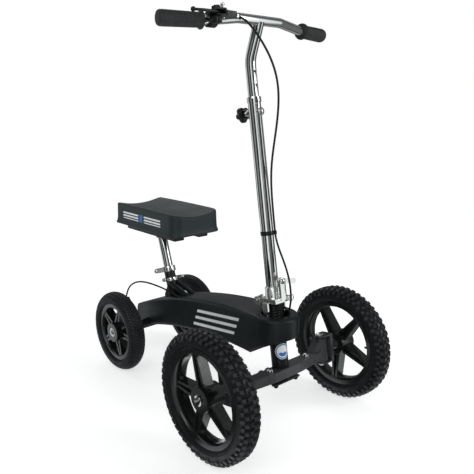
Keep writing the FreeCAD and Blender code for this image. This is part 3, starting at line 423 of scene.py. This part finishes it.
def add_carcass(build, tyre, matrix):
    """The tyre under its tread, with fine ridges round the sidewalls and a bead at each lip of the rim."""
    profile = []
    for slant in SECTION_ANGLES:
        radius, height = section_point(tyre, slant)
        ridge = RIDGE_HEIGHT if any(low < abs(slant) < high for low, high in RIDGES) else 0.0
        profile.append((radius, height + math.copysign(ridge, height)))
    bead = tyre["lip"] + BEAD_GAP
    seat = tyre["lip_half"] - BEAD_INSET
    profile = [(bead, -seat), (bead + BEAD_RISE, -seat - BEAD_FLARE)] + profile
    profile += [(bead + BEAD_RISE, seat + BEAD_FLARE), (bead, seat)]
    add_rings(build, [circle(radius, height, CARCASS_STEPS, matrix) for radius, height in profile], False)


def add_lug(build, tyre, matrix, turn, slant, size, height, skew=0.0, notch=0.0):
    """A tread block: (length around, width across) in millimetres, standing on the carcass."""
    radius, side = section_point(tyre, slant)
    before, after = section_point(tyre, slant - 1), section_point(tyre, slant + 1)
    across = Vector((after[0] - before[0], after[1] - before[1])).normalized()
    spin = Matrix.Rotation(turn, 3, "Z")
    centre = spin @ Vector((radius, 0, side))
    along = spin @ Vector((0, 1, 0))
    over = spin @ Vector((across.x, 0, across.y))
    out = along.cross(over)
    if out.dot(spin @ Vector((math.cos(math.radians(slant)), 0, math.sin(math.radians(slant))))) < 0:
        out = -out
    half_long, half_wide = size[0] / 2, size[1] / 2
    rings = []
    for level, spread in ((-LUG_ROOT, 1.12), (height * 0.75, 1.0), (height, 0.84)):
        ring = []
        for u, v in ((-1, -1), (0, -1 + notch), (1, -1), (1, 0), (1, 1), (0, 1 - notch), (-1, 1), (-1, 0)):
            point = centre + out * level
            point += along * (u * half_long * spread + skew * v * half_wide)
            point += over * (v * half_wide * spread)
            ring.append(matrix @ point)
        rings.append(ring)
    add_rings(build, rings)


def add_front_tread(build, matrix):
    half_turn = math.pi / FRONT_PITCH
    for step in range(FRONT_PITCH):
        turn = 2 * math.pi * step / FRONT_PITCH
        for sign in (-1, 1):
            place = turn + half_turn if sign > 0 else turn
            for slant, size, height, skew, notch in FRONT_ROWS:
                add_lug(build, FRONT_TYRE, matrix, place, sign * slant, size, height, sign * skew, notch)
            slant, size, height = FRONT_EDGES[step % 2]
            add_lug(build, FRONT_TYRE, matrix, place + half_turn, sign * slant, size, height)


def add_rear_tread(build, matrix):
    half_turn = math.pi / REAR_PITCH
    for step in range(REAR_PITCH):
        turn = 2 * math.pi * step / REAR_PITCH
        add_lug(build, REAR_TYRE, matrix, turn, *REAR_MIDDLE)
        for sign in (-1, 1):
            for row, (slant, size, height, skew) in enumerate(REAR_ROWS):
                place = turn if row % 2 else turn + half_turn
                add_lug(build, REAR_TYRE, matrix, place, sign * slant, size, height, sign * skew)


def make_tyre(end, side, tyre, rubber, add_tread):
    """A tyre whose tread blocks have a slightly brighter rubber than its carcass."""
    name = "tyre_%s_%s" % (end, side)
    matrix = wheel_matrix(joints["%s_wheel_%s" % (end, side)]["pos_m"])
    build = bmesh.new()
    add_carcass(build, tyre, matrix)
    carcass_faces = len(build.faces)
    add_tread(build, matrix)
    for face in list(build.faces)[carcass_faces:]:
        face.material_index = 1
    piece = finish_piece(name, build, rubber, "wheel_%s_%s" % (end, side), [name], 40)
    piece.data.materials.append(LUG_RUBBER)


for side, _ in SIDES:
    make_tyre("front", side, FRONT_TYRE, FRONT_RUBBER, add_front_tread)
    make_tyre("rear", side, REAR_TYRE, REAR_RUBBER, add_rear_tread)

# Knee cushion

cushion_low, cushion_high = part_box("knee_cushion")
CUSHION_CENTRE = (Vector(cushion_low) + Vector(cushion_high)) / 2
CUSHION_HALF = (Vector(cushion_high) - Vector(cushion_low)) / 2 / MM
CUSHION_FLOOR = cushion_low[2] / MM
PAD_HEIGHT = 2 * CUSHION_HALF.z
PAD_DISH, PAD_CROWN = 12.0, 1.5
FRONT_CORNER, REAR_CORNER, SMALLEST_CORNER = 27.0, 11.0, 3.0
FRONT_CORNER_SHRINK, REAR_CORNER_SHRINK = 0.33, 0.1  # lost per millimetre of inset
EDGE_ROUND, EDGE_INSET = 6.5, -0.6
# (inset from the CAD's outline, height) of the flared foot's rings, from the middle of the underside
FOOT_RINGS = [(66, 0.0), (40, 0.0), (4, 0.0), (-3.5, 0.4), (-5.0, 2.0), (-4.8, 4.5), (-3.0, 9.0),
              (-1.6, 15.0)]
EDGE_ANGLES = (15, 35, 55, 75, 90)
TOP_INSETS, TOP_RISE = (12.0, 20.0, 30.0, 40.0, 50.0, 60.0, 70.0), 0.2


def cushion_outline(half_x, half_y, front_radius, rear_radius, steps=10, side_steps=12):
    """A rectangle with rounder corners in front than behind, and points along its sides."""
    corners = []
    for corner, (sx, sy) in enumerate(((1, 1), (-1, 1), (-1, -1), (1, -1))):
        radius = front_radius if sx > 0 else rear_radius
        turns = [math.radians(90 * corner + 90 * step / steps) for step in range(steps + 1)]
        corners.append([Vector((sx * (half_x - radius) + radius * math.cos(turn),
                                sy * (half_y - radius) + radius * math.sin(turn))) for turn in turns])
    points = []
    for arc, following in zip(corners, corners[1:] + corners[:1]):
        points += arc
        points += [arc[-1].lerp(following[0], step / side_steps) for step in range(1, side_steps)]
    return points


def cushion_rings():
    """(inset from the CAD's outline, height) of each ring, from the underside to the middle of the top."""
    edge_low = PAD_HEIGHT - EDGE_ROUND
    rings = FOOT_RINGS + [(-1.0, PAD_HEIGHT * 0.5), (EDGE_INSET, edge_low)]
    for angle in EDGE_ANGLES:
        turn = math.radians(angle)
        rings.append((EDGE_ROUND * (1 - math.cos(turn)) + EDGE_INSET, edge_low + EDGE_ROUND * math.sin(turn)))
    rings += [(inset, PAD_HEIGHT + TOP_RISE) for inset in TOP_INSETS]
    return rings


def make_cushion():
    """The moulded pad: a flared foot, upright walls and a top that dishes across the scooter."""
    build = bmesh.new()
    rings = []
    half_height = PAD_HEIGHT * 0.5
    for inset, level in cushion_rings():
        front_radius = max(SMALLEST_CORNER, FRONT_CORNER - inset * FRONT_CORNER_SHRINK)
        rear_radius = max(SMALLEST_CORNER, REAR_CORNER - inset * REAR_CORNER_SHRINK)
        share = max(0.0, min(1.0, (level - half_height) / half_height))
        ring = []
        for x, y in cushion_outline(CUSHION_HALF.x - inset, CUSHION_HALF.y - inset,
                                    front_radius, rear_radius):
            dish = PAD_DISH * (1 - min(1.0, abs(y) / CUSHION_HALF.y) ** 2.0) * share
            crown = PAD_CROWN * (x / CUSHION_HALF.x) ** 2 * share
            ring.append(Vector((CUSHION_CENTRE.x / MM + x, y, CUSHION_FLOOR + level - dish - crown)) * MM)
        rings.append(ring)
    add_rings(build, rings)
    cushion = finish_piece("knee_cushion", build, CUSHION_SKIN, "knee_rest",
                           ["knee_cushion"], 60)
    soft = cushion.modifiers.new("soft", "SUBSURF")
    soft.levels = soft.render_levels = 1


make_cushion()

# Grips and knobs

GRIP_OUT, GRIP_IN = (8.2, 253.0, 815.0), (28.0, 152.0, 813.7)
GRIP_LENGTH, GRIP_RIBS, GRIP_RADIUS = 96, 22, 17.4
GRIP_TAPER, GRIP_OVAL = 1.3, 0.018
RIB_START, RIB_MARGIN = 8, 14
RIB_SHAPE = ((0.45, 0.0), (0.0, 0.6), (0.0, 2.4), (0.45, 3.0))  # (dip, distance along) of a rib's corners
# (radius, height) profiles in millimetres
GRIP_END = [(4, -2.6), (11, -2.4), (15.0, -1.2), (16.6, 1.2), (17.2, 4.0)]
GRIP_FLANGE = [(15.8, 91), (16.4, 93.2), (19.2, 94.6), (19.9, 96.2), (19.4, 98.0), (17.5, 98.6), (12.0, 98.4)]
UPPER_KNOB = [(4, 828.8), (8.6, 828.8), (10, 830), (10, 834.6), (8.8, 836.4), (6, 837.2)]
LOWER_KNOB = [(4, 815.2), (8.4, 815.2), (10, 814), (10, 803.4), (8.8, 801.6), (6, 800.8)]
KNOB_SPINDLE = [(3, 801), (3, 836)]
STAR_KNOB = [(4.2, -32), (9, -32), (9.6, -34), (9.6, -36), (16.5, -36.6), (19, -38.6), (19.2, -43),
             (19, -48), (17, -51.6), (12.5, -53.6), (6, -54)]
LEVER_PIVOT = (58, -138, 0)
SCREW_PLACE = (0, 0, 622.6)


def axis_matrix(start, end):
    """Millimetres from a start point, with Z towards the end point, both in the raked frame."""
    start, end = Vector(start), Vector(end)
    return RAKED @ Matrix.Translation(start) @ (end - start).to_track_quat("Z", "Y").to_matrix().to_4x4()


def make_grip(side, sign):
    """A ribbed grip, slightly oval, with a flange on its inner end."""
    matrix = axis_matrix((GRIP_OUT[0], sign * GRIP_OUT[1], GRIP_OUT[2]),
                         (GRIP_IN[0], sign * GRIP_IN[1], GRIP_IN[2]))
    profile = list(GRIP_END)
    for rib in range(GRIP_RIBS):
        low = RIB_START + rib * (GRIP_LENGTH - RIB_MARGIN) / GRIP_RIBS
        swell = GRIP_RADIUS - GRIP_TAPER * (low / GRIP_LENGTH)
        profile += [(swell - dip, low + rise) for dip, rise in RIB_SHAPE]
    profile += GRIP_FLANGE

    def shape(angle):
        return 1 + GRIP_OVAL * math.cos(2 * angle)

    build = bmesh.new()
    add_lathe(build, profile, matrix, 56, shape)
    finish_piece("grip_" + side, build, GRIP_RUBBER, "handlebars", ["grip_" + side], 50)


for side, sign in SIDES:
    make_grip(side, sign)


def lobes(count, depth):
    """A shape for add_lathe with a count of hollows round it."""
    def shape(angle):
        return 1 - depth * (0.5 - 0.5 * math.cos(count * angle)) ** 1.5
    return shape


def make_knobs():
    """The two lobed knobs on the lever's pivot, and the star knob on the column."""
    build = bmesh.new()
    pivot = RAKED @ Matrix.Translation(LEVER_PIVOT)
    for profile in (UPPER_KNOB, LOWER_KNOB):
        add_lathe(build, profile, pivot, 72, lobes(6, 0.2))
    add_lathe(build, KNOB_SPINDLE, pivot, 24)
    finish_piece("perch_knobs", build, BLACK_PLASTIC, "handlebars", ["perch_knobs"], 40)
    build = bmesh.new()
    screw = RAKED @ Matrix.Translation(SCREW_PLACE) @ Matrix.Rotation(math.radians(90), 4, "Y")
    add_lathe(build, STAR_KNOB, screw, 96, lobes(5, 0.24))
    finish_piece("star_knob", build, BLACK_PLASTIC, "knob", ["star_knob"], 40)


make_knobs()

# Brake cables

# routes in millimetres: the upper and lower in the raked frame, the rear one level, from the steering axis
UPPER_CABLE = [
    (57, -76, 821), (61, -62, 815), (66, -50, 801), (75, -39, 778), (84, -30, 752), (90.5, -22, 725),
    (93, -15, 698), (91.5, -9.5, 671), (86, -5.5, 642), (76.5, -2, 612), (64, 1, 580), (48, 4, 543),
    (33, 6.5, 505), (22.5, 9, 467), (17, 11.2, 429), (14.4, 12.7, 390), (13.5, 13.3, 358), (13.6, 13.2, 334)]
LOWER_CABLE = [
    (13.6, 13.2, 334), (14.6, 13.3, 319), (18.6, 13.5, 302), (25, 14, 283), (33, 14.4, 262), (40, 14.9, 239),
    (44.3, 15.4, 215), (45, 16, 191), (42.5, 16.4, 169), (37.5, 15, 149), (31, 11, 125.7)]
REAR_CABLE = [
    (12, 13, 262), (8, 22, 243), (-10, 35, 232), (-40, 38, 227), (-85, 32, 227), (-143, 22, 225),
    (-208, 6, 227.5), (-272, -12, 226), (-326, -25, 230), (-372, -30, 240), (-410, -36, 251),
    (-437, -43, 258), (-463, -53, 264), (-491, -62, 267.5), (-520, -69, 266.5), (-548, -74, 258),
    (-573, -76, 242), (-591, -76, 221), (-601, -76, 197)]
CABLE_RADIUS = 0.0025
NOSE_TOP = 8  # the lower cable's point from which the frame's open nose holds it
CABLE_ORDER, CABLE_SMOOTHNESS, CABLE_ROUNDNESS, CABLE_WELD = 3, 8, 3, 0.00001
AXLE_X = joints["steering"]["pos_m"][0]


def make_cable(name, points):
    """A cable along the smooth curve that the points hold, in metres, still to be blended."""
    data = bpy.data.curves.new(name, "CURVE")
    data.dimensions = "3D"
    spline = data.splines.new("NURBS")
    spline.points.add(len(points) - 1)
    for target, point in zip(spline.points, points):
        target.co = (*point, 1)
    spline.order_u = CABLE_ORDER
    spline.use_endpoint_u = True
    data.resolution_u = CABLE_SMOOTHNESS
    data.bevel_depth = CABLE_RADIUS
    data.bevel_resolution = CABLE_ROUNDNESS
    data.use_fill_caps = True
    curve = bpy.data.objects.new(name + "_line", data)
    scene.collection.objects.link(curve)
    depsgraph = bpy.context.evaluated_depsgraph_get()
    mesh = bpy.data.meshes.new_from_object(curve.evaluated_get(depsgraph))
    bpy.data.objects.remove(curve)
    build = bmesh.new()
    build.from_mesh(mesh)
    bmesh.ops.remove_doubles(build, verts=build.verts, dist=CABLE_WELD)
    bpy.data.meshes.remove(mesh)
    return finish_piece(name, build, CABLE_SKIN, None, [name])


def make_cables():
    """The three lengths of brake cable, which meet at the folding base and at the top of the frame's nose."""
    upper = [RAKED @ Vector(point) for point in UPPER_CABLE]
    piece = make_cable("brake_cable_upper", upper)
    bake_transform(piece)
    lower = [RAKED @ Vector(point) for point in LOWER_CABLE]
    piece = make_cable("brake_cable_lower", lower[:NOSE_TOP + 1])
    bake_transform(piece)
    rear = lower[NOSE_TOP:] + [Vector(point) * MM + Vector((AXLE_X, 0, 0)) for point in REAR_CABLE]
    piece = make_cable("brake_cable_rear", rear)
    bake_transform(piece)


make_cables()

# Brake lever, its cable adjuster, valves and the ring on the latch

LEVER_PATH = [(55, -131.5, 821), (59, -134, 821), (64, -140, 821), (68, -150, 821), (69.5, -165, 821),
              (69, -182, 821), (67.5, -195, 821), (66, -204, 821)]
LEVER_SECTIONS = [(3.5, 2.6), (7.5, 2.9), (7.0, 2.9), (4.6, 2.9), (4.0, 2.9), (3.6, 2.8), (3.2, 2.7),
                  (2.8, 2.6)]
LEVER_BALL, BALL_RADIUS = (66, -206, 821), 5.3
ADJUSTER_PLACE = (57, -92, 821)
ADJUSTER_NUT = [(5.0, 0), (6.9, 0.3), (6.9, 4.6), (6.4, 5.0), (5.6, 5.4)]
ADJUSTER_BARREL = [(5.0, 7.0), (6.9, 7.3), (6.9, 11.6), (5.6, 12.4), (4.4, 15.0), (3.4, 16.2)]
KNURLS, KNURL_DEPTH = 18, 0.05
VALVE_STEM = [(4.2, -2), (4.2, 1.5), (3.1, 4), (2.9, 12), (2.5, 13), (3.0, 13.4), (3.0, 19.4), (1.6, 20.2)]
VALVE_SHIFT = 4  # along the axle from the wheel's middle
# (radius at which the stem starts, degrees round the wheel)
VALVES = {"front_right": (101, 160), "rear_right": (72, 24), "front_left": (101, -5), "rear_left": (72, 24)}
RING_PLACE = (35.6, 24, 172)
RING_RADIUS, RING_WIRE, RING_RISE, RING_TURNS = 8.2, 0.75, 1.5, 1.9


def add_bar(build, points, sections, matrix, sides=16):
    """A bar of rounded section through points. Each section is (half width, half thickness)."""
    rings = []
    points = [Vector(point) for point in points]
    for index, (point, (wide, thick)) in enumerate(zip(points, sections)):
        ahead = points[min(index + 1, len(points) - 1)] - points[max(index - 1, 0)]
        across = Vector((0, 0, 1)).cross(ahead).normalized()
        ring = []
        for side in range(sides):
            angle = 2 * math.pi * side / sides
            flat = [math.copysign(abs(value) ** 0.7, value) for value in (math.cos(angle), math.sin(angle))]
            ring.append(matrix @ (point + across * (wide * flat[0]) + Vector((0, 0, thick * flat[1]))))
        rings.append(ring)
    add_rings(build, rings)


def ball_profile(radius, steps=10):
    """A ball round the origin, for add_lathe."""
    turns = [math.pi * step / steps for step in range(steps + 1)]
    return [(max(0.4, radius * math.sin(turn)), -radius * math.cos(turn)) for turn in turns]


def make_lever():
    """The brake blade, with a ball on its end."""
    build = bmesh.new()
    add_bar(build, LEVER_PATH, LEVER_SECTIONS, RAKED)
    add_lathe(build, ball_profile(BALL_RADIUS), RAKED @ Matrix.Translation(LEVER_BALL), 32)
    finish_piece("brake_lever", build, BLACK_STEEL, "lever", ["brake_lever"], 45)


def make_adjuster():
    """The knurled barrel that the cable leaves the perch through."""
    along = RAKED @ Matrix.Translation(ADJUSTER_PLACE) @ Matrix.Rotation(math.radians(-90), 4, "X")

    def knurl(angle):
        return 1 - KNURL_DEPTH * (0.5 + 0.5 * math.cos(KNURLS * angle))

    build = bmesh.new()
    for profile in (ADJUSTER_NUT, ADJUSTER_BARREL):
        add_lathe(build, profile, along, 108, knurl)
    finish_piece("cable_adjuster", build, CHROME, "handlebars", (), 35)


def make_valve(wheel, radius, turn):
    """A short rubber stem that points at the hub."""
    end, side = wheel.split("_")
    centre = joints["%s_wheel_%s" % (end, side)]["pos_m"]
    matrix = wheel_matrix(centre) @ Matrix.Rotation(math.radians(turn), 4, "Z")
    matrix = matrix @ Matrix.Translation((radius, 0, VALVE_SHIFT))
    matrix = matrix @ Matrix.Rotation(math.radians(-90), 4, "Y")
    build = bmesh.new()
    add_lathe(build, VALVE_STEM, matrix, 24)
    finish_piece("valve_" + wheel, build, BLACK_PLASTIC, "wheel_" + wheel, (), 35)


def make_latch_ring(steps=76, sides=8):
    """The split ring that hangs on the front edge of the folding plate."""
    build = bmesh.new()
    matrix = RAKED @ Matrix.Translation(RING_PLACE) @ Matrix.Rotation(math.radians(90), 4, "Y")
    rings = []
    for step in range(steps + 1):
        angle = 2 * math.pi * RING_TURNS * step / steps
        out = Vector((math.cos(angle), math.sin(angle), 0))
        centre = out * RING_RADIUS + Vector((0, 0, RING_RISE * step / steps))
        ring = []
        for corner in range(sides):
            tilt = 2 * math.pi * corner / sides
            ring.append(matrix @ (centre + out * (RING_WIRE * math.cos(tilt))
                                  + Vector((0, 0, RING_WIRE * math.sin(tilt)))))
        rings.append(ring)
    add_rings(build, rings)
    finish_piece("latch_ring", build, CHROME, "column", (), 60)


make_lever()
make_adjuster()
for wheel, (radius, turn) in VALVES.items():
    make_valve(wheel, radius, turn)
make_latch_ring()

# Plain graphics in place of the words and the badge

SIDE_LEAN = math.radians(2.2)
NOSE_RADIUS, NOSE_X = 57.0, -18.0
FRAME_GRAPHIC_X, FRAME_GRAPHIC_Z, FRAME_GRAPHIC_RISE = 60.0, 229.0, 0.15
STRIPE_LOWS, STRIPE_HEIGHT, STRIPE_SLANT, STRIPE_STEP = (-23, -4, 15), 8, 4, 12
STRIPE_LEFT, STRIPE_RIGHT = -102, 78
STRIPE_DEPTH, PAD_STRIPE_DEPTH = (-0.6, 0.35), (-2.5, 0.5)
PAD_GRAPHIC_BACK, PAD_GRAPHIC_UP, PAD_GRAPHIC_OUT = 14.0, 30.0, 1.0
PAD_BARS, PAD_BAR_ENDS, PAD_BAR_SLANT = ((-11, -6), (-2.5, 2.5), (6, 11)), ((-98, -16), (14, 96)), 3
PAD_BLUE_BAR = (-10, 6, -13, 13, 4)
BADGE_TUBE, BADGE_TURN, BADGE_Z = 21.0, math.radians(-17), 43.0
BADGE_SHEET, DISC_LIFT, PATTERN_LIFT = 0.5, 0.35, 0.6  # a sheet's thickness, and how far each stands out
BADGE_DISC, BADGE_HOOP, BADGE_ARC = (0.5, 19.5), (15.5, 18.0), (4.0, 12.5)
WHOLE_TURN, ARC_ENDS = (0, 2 * math.pi), (math.radians(200), math.radians(340))


def panel_matrix(origin, ahead, up):
    """Millimetres on a panel: X along it, Y up it, Z out of it."""
    ahead, up = Vector(ahead).normalized(), Vector(up).normalized()
    up = (up - ahead * up.dot(ahead)).normalized()
    out = ahead.cross(up)
    turn = Matrix((ahead, up, out)).transposed().to_4x4()
    return Matrix.Translation(Vector(origin)) @ turn @ Matrix.Scale(MM, 4)


def add_stripe(build, matrix, left, right, low, high, slant, depth):
    """A slanted bar on a panel, between two depths."""
    outline = ((left, low), (right, low), (right + slant, high), (left + slant, high))
    add_rings(build, [[matrix @ Vector((x, y, level)) for x, y in outline] for level in depth])


def make_frame_graphic(side, sign):
    """Three long stripes along the frame's flat side."""
    touch_x = NOSE_X - NOSE_RADIUS * math.sin(SIDE_LEAN)
    touch_y = NOSE_RADIUS * math.cos(SIDE_LEAN)
    middle = FRAME_GRAPHIC_X - AXLE_X / MM
    y = sign * (touch_y + (middle - touch_x) * math.tan(SIDE_LEAN))
    origin = Vector((FRAME_GRAPHIC_X, y, FRAME_GRAPHIC_Z)) * MM
    along = Vector((math.cos(SIDE_LEAN), sign * math.sin(SIDE_LEAN), FRAME_GRAPHIC_RISE))
    matrix = panel_matrix(origin, along * -sign, (0, 0, 1))
    build = bmesh.new()
    for number, low in enumerate(STRIPE_LOWS):
        shift = STRIPE_STEP * number
        add_stripe(build, matrix, shift + STRIPE_LEFT, shift + STRIPE_RIGHT, low, low + STRIPE_HEIGHT,
                   STRIPE_SLANT, STRIPE_DEPTH)
    finish_piece("side_graphic_" + side, build, PALE_INK, "frame", (), 30)


def make_pad_graphic(side, sign):
    """Long bars with one blue bar between them, on the pad's side wall."""
    y = sign * (CUSHION_HALF.y + PAD_GRAPHIC_OUT)
    origin = Vector((CUSHION_CENTRE.x / MM - PAD_GRAPHIC_BACK, y, CUSHION_FLOOR + PAD_GRAPHIC_UP)) * MM
    matrix = panel_matrix(origin, (-sign, 0, 0), (0, 0, 1))
    white, blue = bmesh.new(), bmesh.new()
    for low, high in PAD_BARS:
        for left, right in PAD_BAR_ENDS:
            add_stripe(white, matrix, left, right, low, high, PAD_BAR_SLANT, PAD_STRIPE_DEPTH)
    add_stripe(blue, matrix, *PAD_BLUE_BAR, PAD_STRIPE_DEPTH)
    finish_piece("pad_graphic_" + side, white, WHITE_INK, "knee_rest", (), 30)
    finish_piece("pad_graphic_bar_" + side, blue, BLUE_INK, "knee_rest", (), 30)


def add_badge_sheet(build, inner, outer, start, end, lift, steps=48, bands=6):
    """Part of a disc wrapped round the head tube, from one angle of the disc to another."""
    whole = math.isclose(end - start, 2 * math.pi)
    spans = steps if whole else steps - 1
    made = []
    for level in (lift, lift - BADGE_SHEET):
        for band in range(bands + 1):
            reach = inner + (outer - inner) * (band if level == lift else bands - band) / bands
            out = BADGE_TUBE + level
            ring = []
            for step in range(steps):
                angle = start + (end - start) * step / spans
                turn = BADGE_TURN + reach * math.cos(angle) / BADGE_TUBE
                height = BADGE_Z + reach * math.sin(angle)
                point = Vector((out * math.cos(turn), out * math.sin(turn), height))
                ring.append(build.verts.new(RAKED @ point))
            made.append(ring)
    for first, second in zip(made, made[1:] + made[:1]):
        for index in range(spans):
            follow = (index + 1) % steps
            build.faces.new((first[index], first[follow], second[follow], second[index]))
    if not whole:
        build.faces.new([ring[0] for ring in made])
        build.faces.new([ring[-1] for ring in made][::-1])


def make_badge():
    """A plain round badge: a pale disc, a blue hoop inside its rim and a blue arc below its middle."""
    build = bmesh.new()
    add_badge_sheet(build, *BADGE_DISC, *WHOLE_TURN, DISC_LIFT)
    finish_piece("badge", build, WHITE_INK, "frame", (), 40)
    build = bmesh.new()
    add_badge_sheet(build, *BADGE_HOOP, *WHOLE_TURN, PATTERN_LIFT)
    add_badge_sheet(build, *BADGE_ARC, *ARC_ENDS, PATTERN_LIFT)
    finish_piece("badge_pattern", build, BLUE_INK, "frame", (), 40)


for side, sign in SIDES:
    make_frame_graphic(side, sign)
    make_pad_graphic(side, sign)
make_badge()
